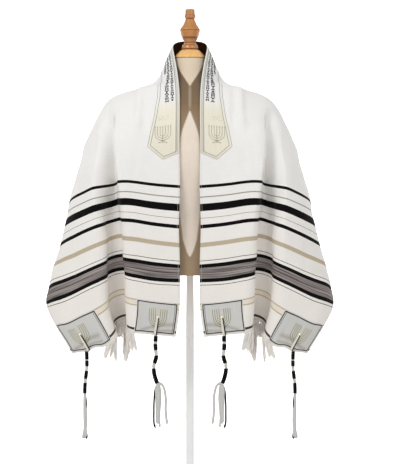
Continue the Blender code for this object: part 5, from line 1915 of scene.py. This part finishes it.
class TALLIT_OT_band(bpy.types.Operator):
    """Make the neck band, its border, lamps and woven figures"""

    bl_idname = "tallit.band"
    bl_label = "Neck band"

    def execute(self, context):
        make_band(context.scene.tallit.band)
        make_band_embroidery(context.scene.tallit.band)
        make_band_motifs(context.scene.tallit.band)
        return {"FINISHED"}


class TALLIT_OT_corners(bpy.types.Operator):
    """Make the four corner squares with their arcs and eyelets"""

    bl_idname = "tallit.corners"
    bl_label = "Corner squares"

    def execute(self, context):
        make_corners(context.scene.tallit.band)
        return {"FINISHED"}


class TALLIT_OT_stitching(bpy.types.Operator):
    """Make the rows of stitches along hems and seams"""

    bl_idname = "tallit.stitching"
    bl_label = "Stitching"

    def execute(self, context):
        make_stitching(context.scene.tallit.shawl)
        return {"FINISHED"}


class TALLIT_OT_fringe(bpy.types.Operator):
    """Make the locks of yarn along both front hems"""

    bl_idname = "tallit.fringe"
    bl_label = "Fringe"

    def execute(self, context):
        make_fringe(context.scene.tallit.shawl)
        return {"FINISHED"}


class TALLIT_OT_tassels(bpy.types.Operator):
    """Make the four knotted tassels"""

    bl_idname = "tallit.tassels"
    bl_label = "Tzitzit"

    def execute(self, context):
        make_tassels(context.scene.tallit.tassels)
        return {"FINISHED"}


class TALLIT_OT_form(bpy.types.Operator):
    """Make the covered form, its turned top and its stand"""

    bl_idname = "tallit.form"
    bl_label = "Dress form"

    def execute(self, context):
        make_form(context.scene.tallit.form)
        return {"FINISHED"}


class TALLIT_OT_stage(bpy.types.Operator):
    """Make the sweep, the lamps and the camera"""

    bl_idname = "tallit.stage"
    bl_label = "Studio"

    def execute(self, context):
        make_stage(context.scene.tallit.stage)
        return {"FINISHED"}


class TALLIT_OT_hang(bpy.types.Operator):
    bl_idname = "tallit.hang"
    bl_label = "Hang the cloth"

    def execute(self, context):
        sewn = [thing for thing in bpy.data.objects if thing.name.startswith(SEWN) and "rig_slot" in thing]
        return {"FINISHED"}


OPERATORS = (
    TALLIT_OT_form, TALLIT_OT_shawl, TALLIT_OT_band, TALLIT_OT_corners, TALLIT_OT_stitching, TALLIT_OT_fringe,
    TALLIT_OT_tassels, TALLIT_OT_hang, TALLIT_OT_stage,
)


class TALLIT_PT_pieces(bpy.types.Panel):
    """The pieces of the object and their settings"""

    bl_label = "Tallit"
    bl_idname = "TALLIT_PT_pieces"
    bl_space_type = "VIEW_3D"
    bl_region_type = "UI"
    bl_category = "Tallit"

    def draw(self, context):
        layout = self.layout
        for operator in OPERATORS:
            layout.operator(operator.bl_idname)
        for label in TallitSettings.__annotations__:
            box = layout.box()
            box.label(text=label.capitalize())
            group = getattr(context.scene.tallit, label)
            for name in type(group).__annotations__:
                box.prop(group, name)


SETTINGS = (ShawlSettings, BandSettings, TasselSettings, FormSettings, StageSettings, TallitSettings)


def register():
    for group in SETTINGS:
        bpy.utils.register_class(group)
    bpy.types.Scene.tallit = bpy.props.PointerProperty(type=TallitSettings)
    for operator in (*OPERATORS, TALLIT_PT_pieces):
        bpy.utils.register_class(operator)


def unregister():
    for operator in (TALLIT_PT_pieces, *reversed(OPERATORS)):
        bpy.utils.unregister_class(operator)
    del bpy.types.Scene.tallit
    for group in reversed(SETTINGS):
        bpy.utils.unregister_class(group)


def main():
    register()
    for operator in OPERATORS:
        _, name = operator.bl_idname.split(".")
        getattr(bpy.ops.tallit, name)()


if __name__ == "__main__":
    main()
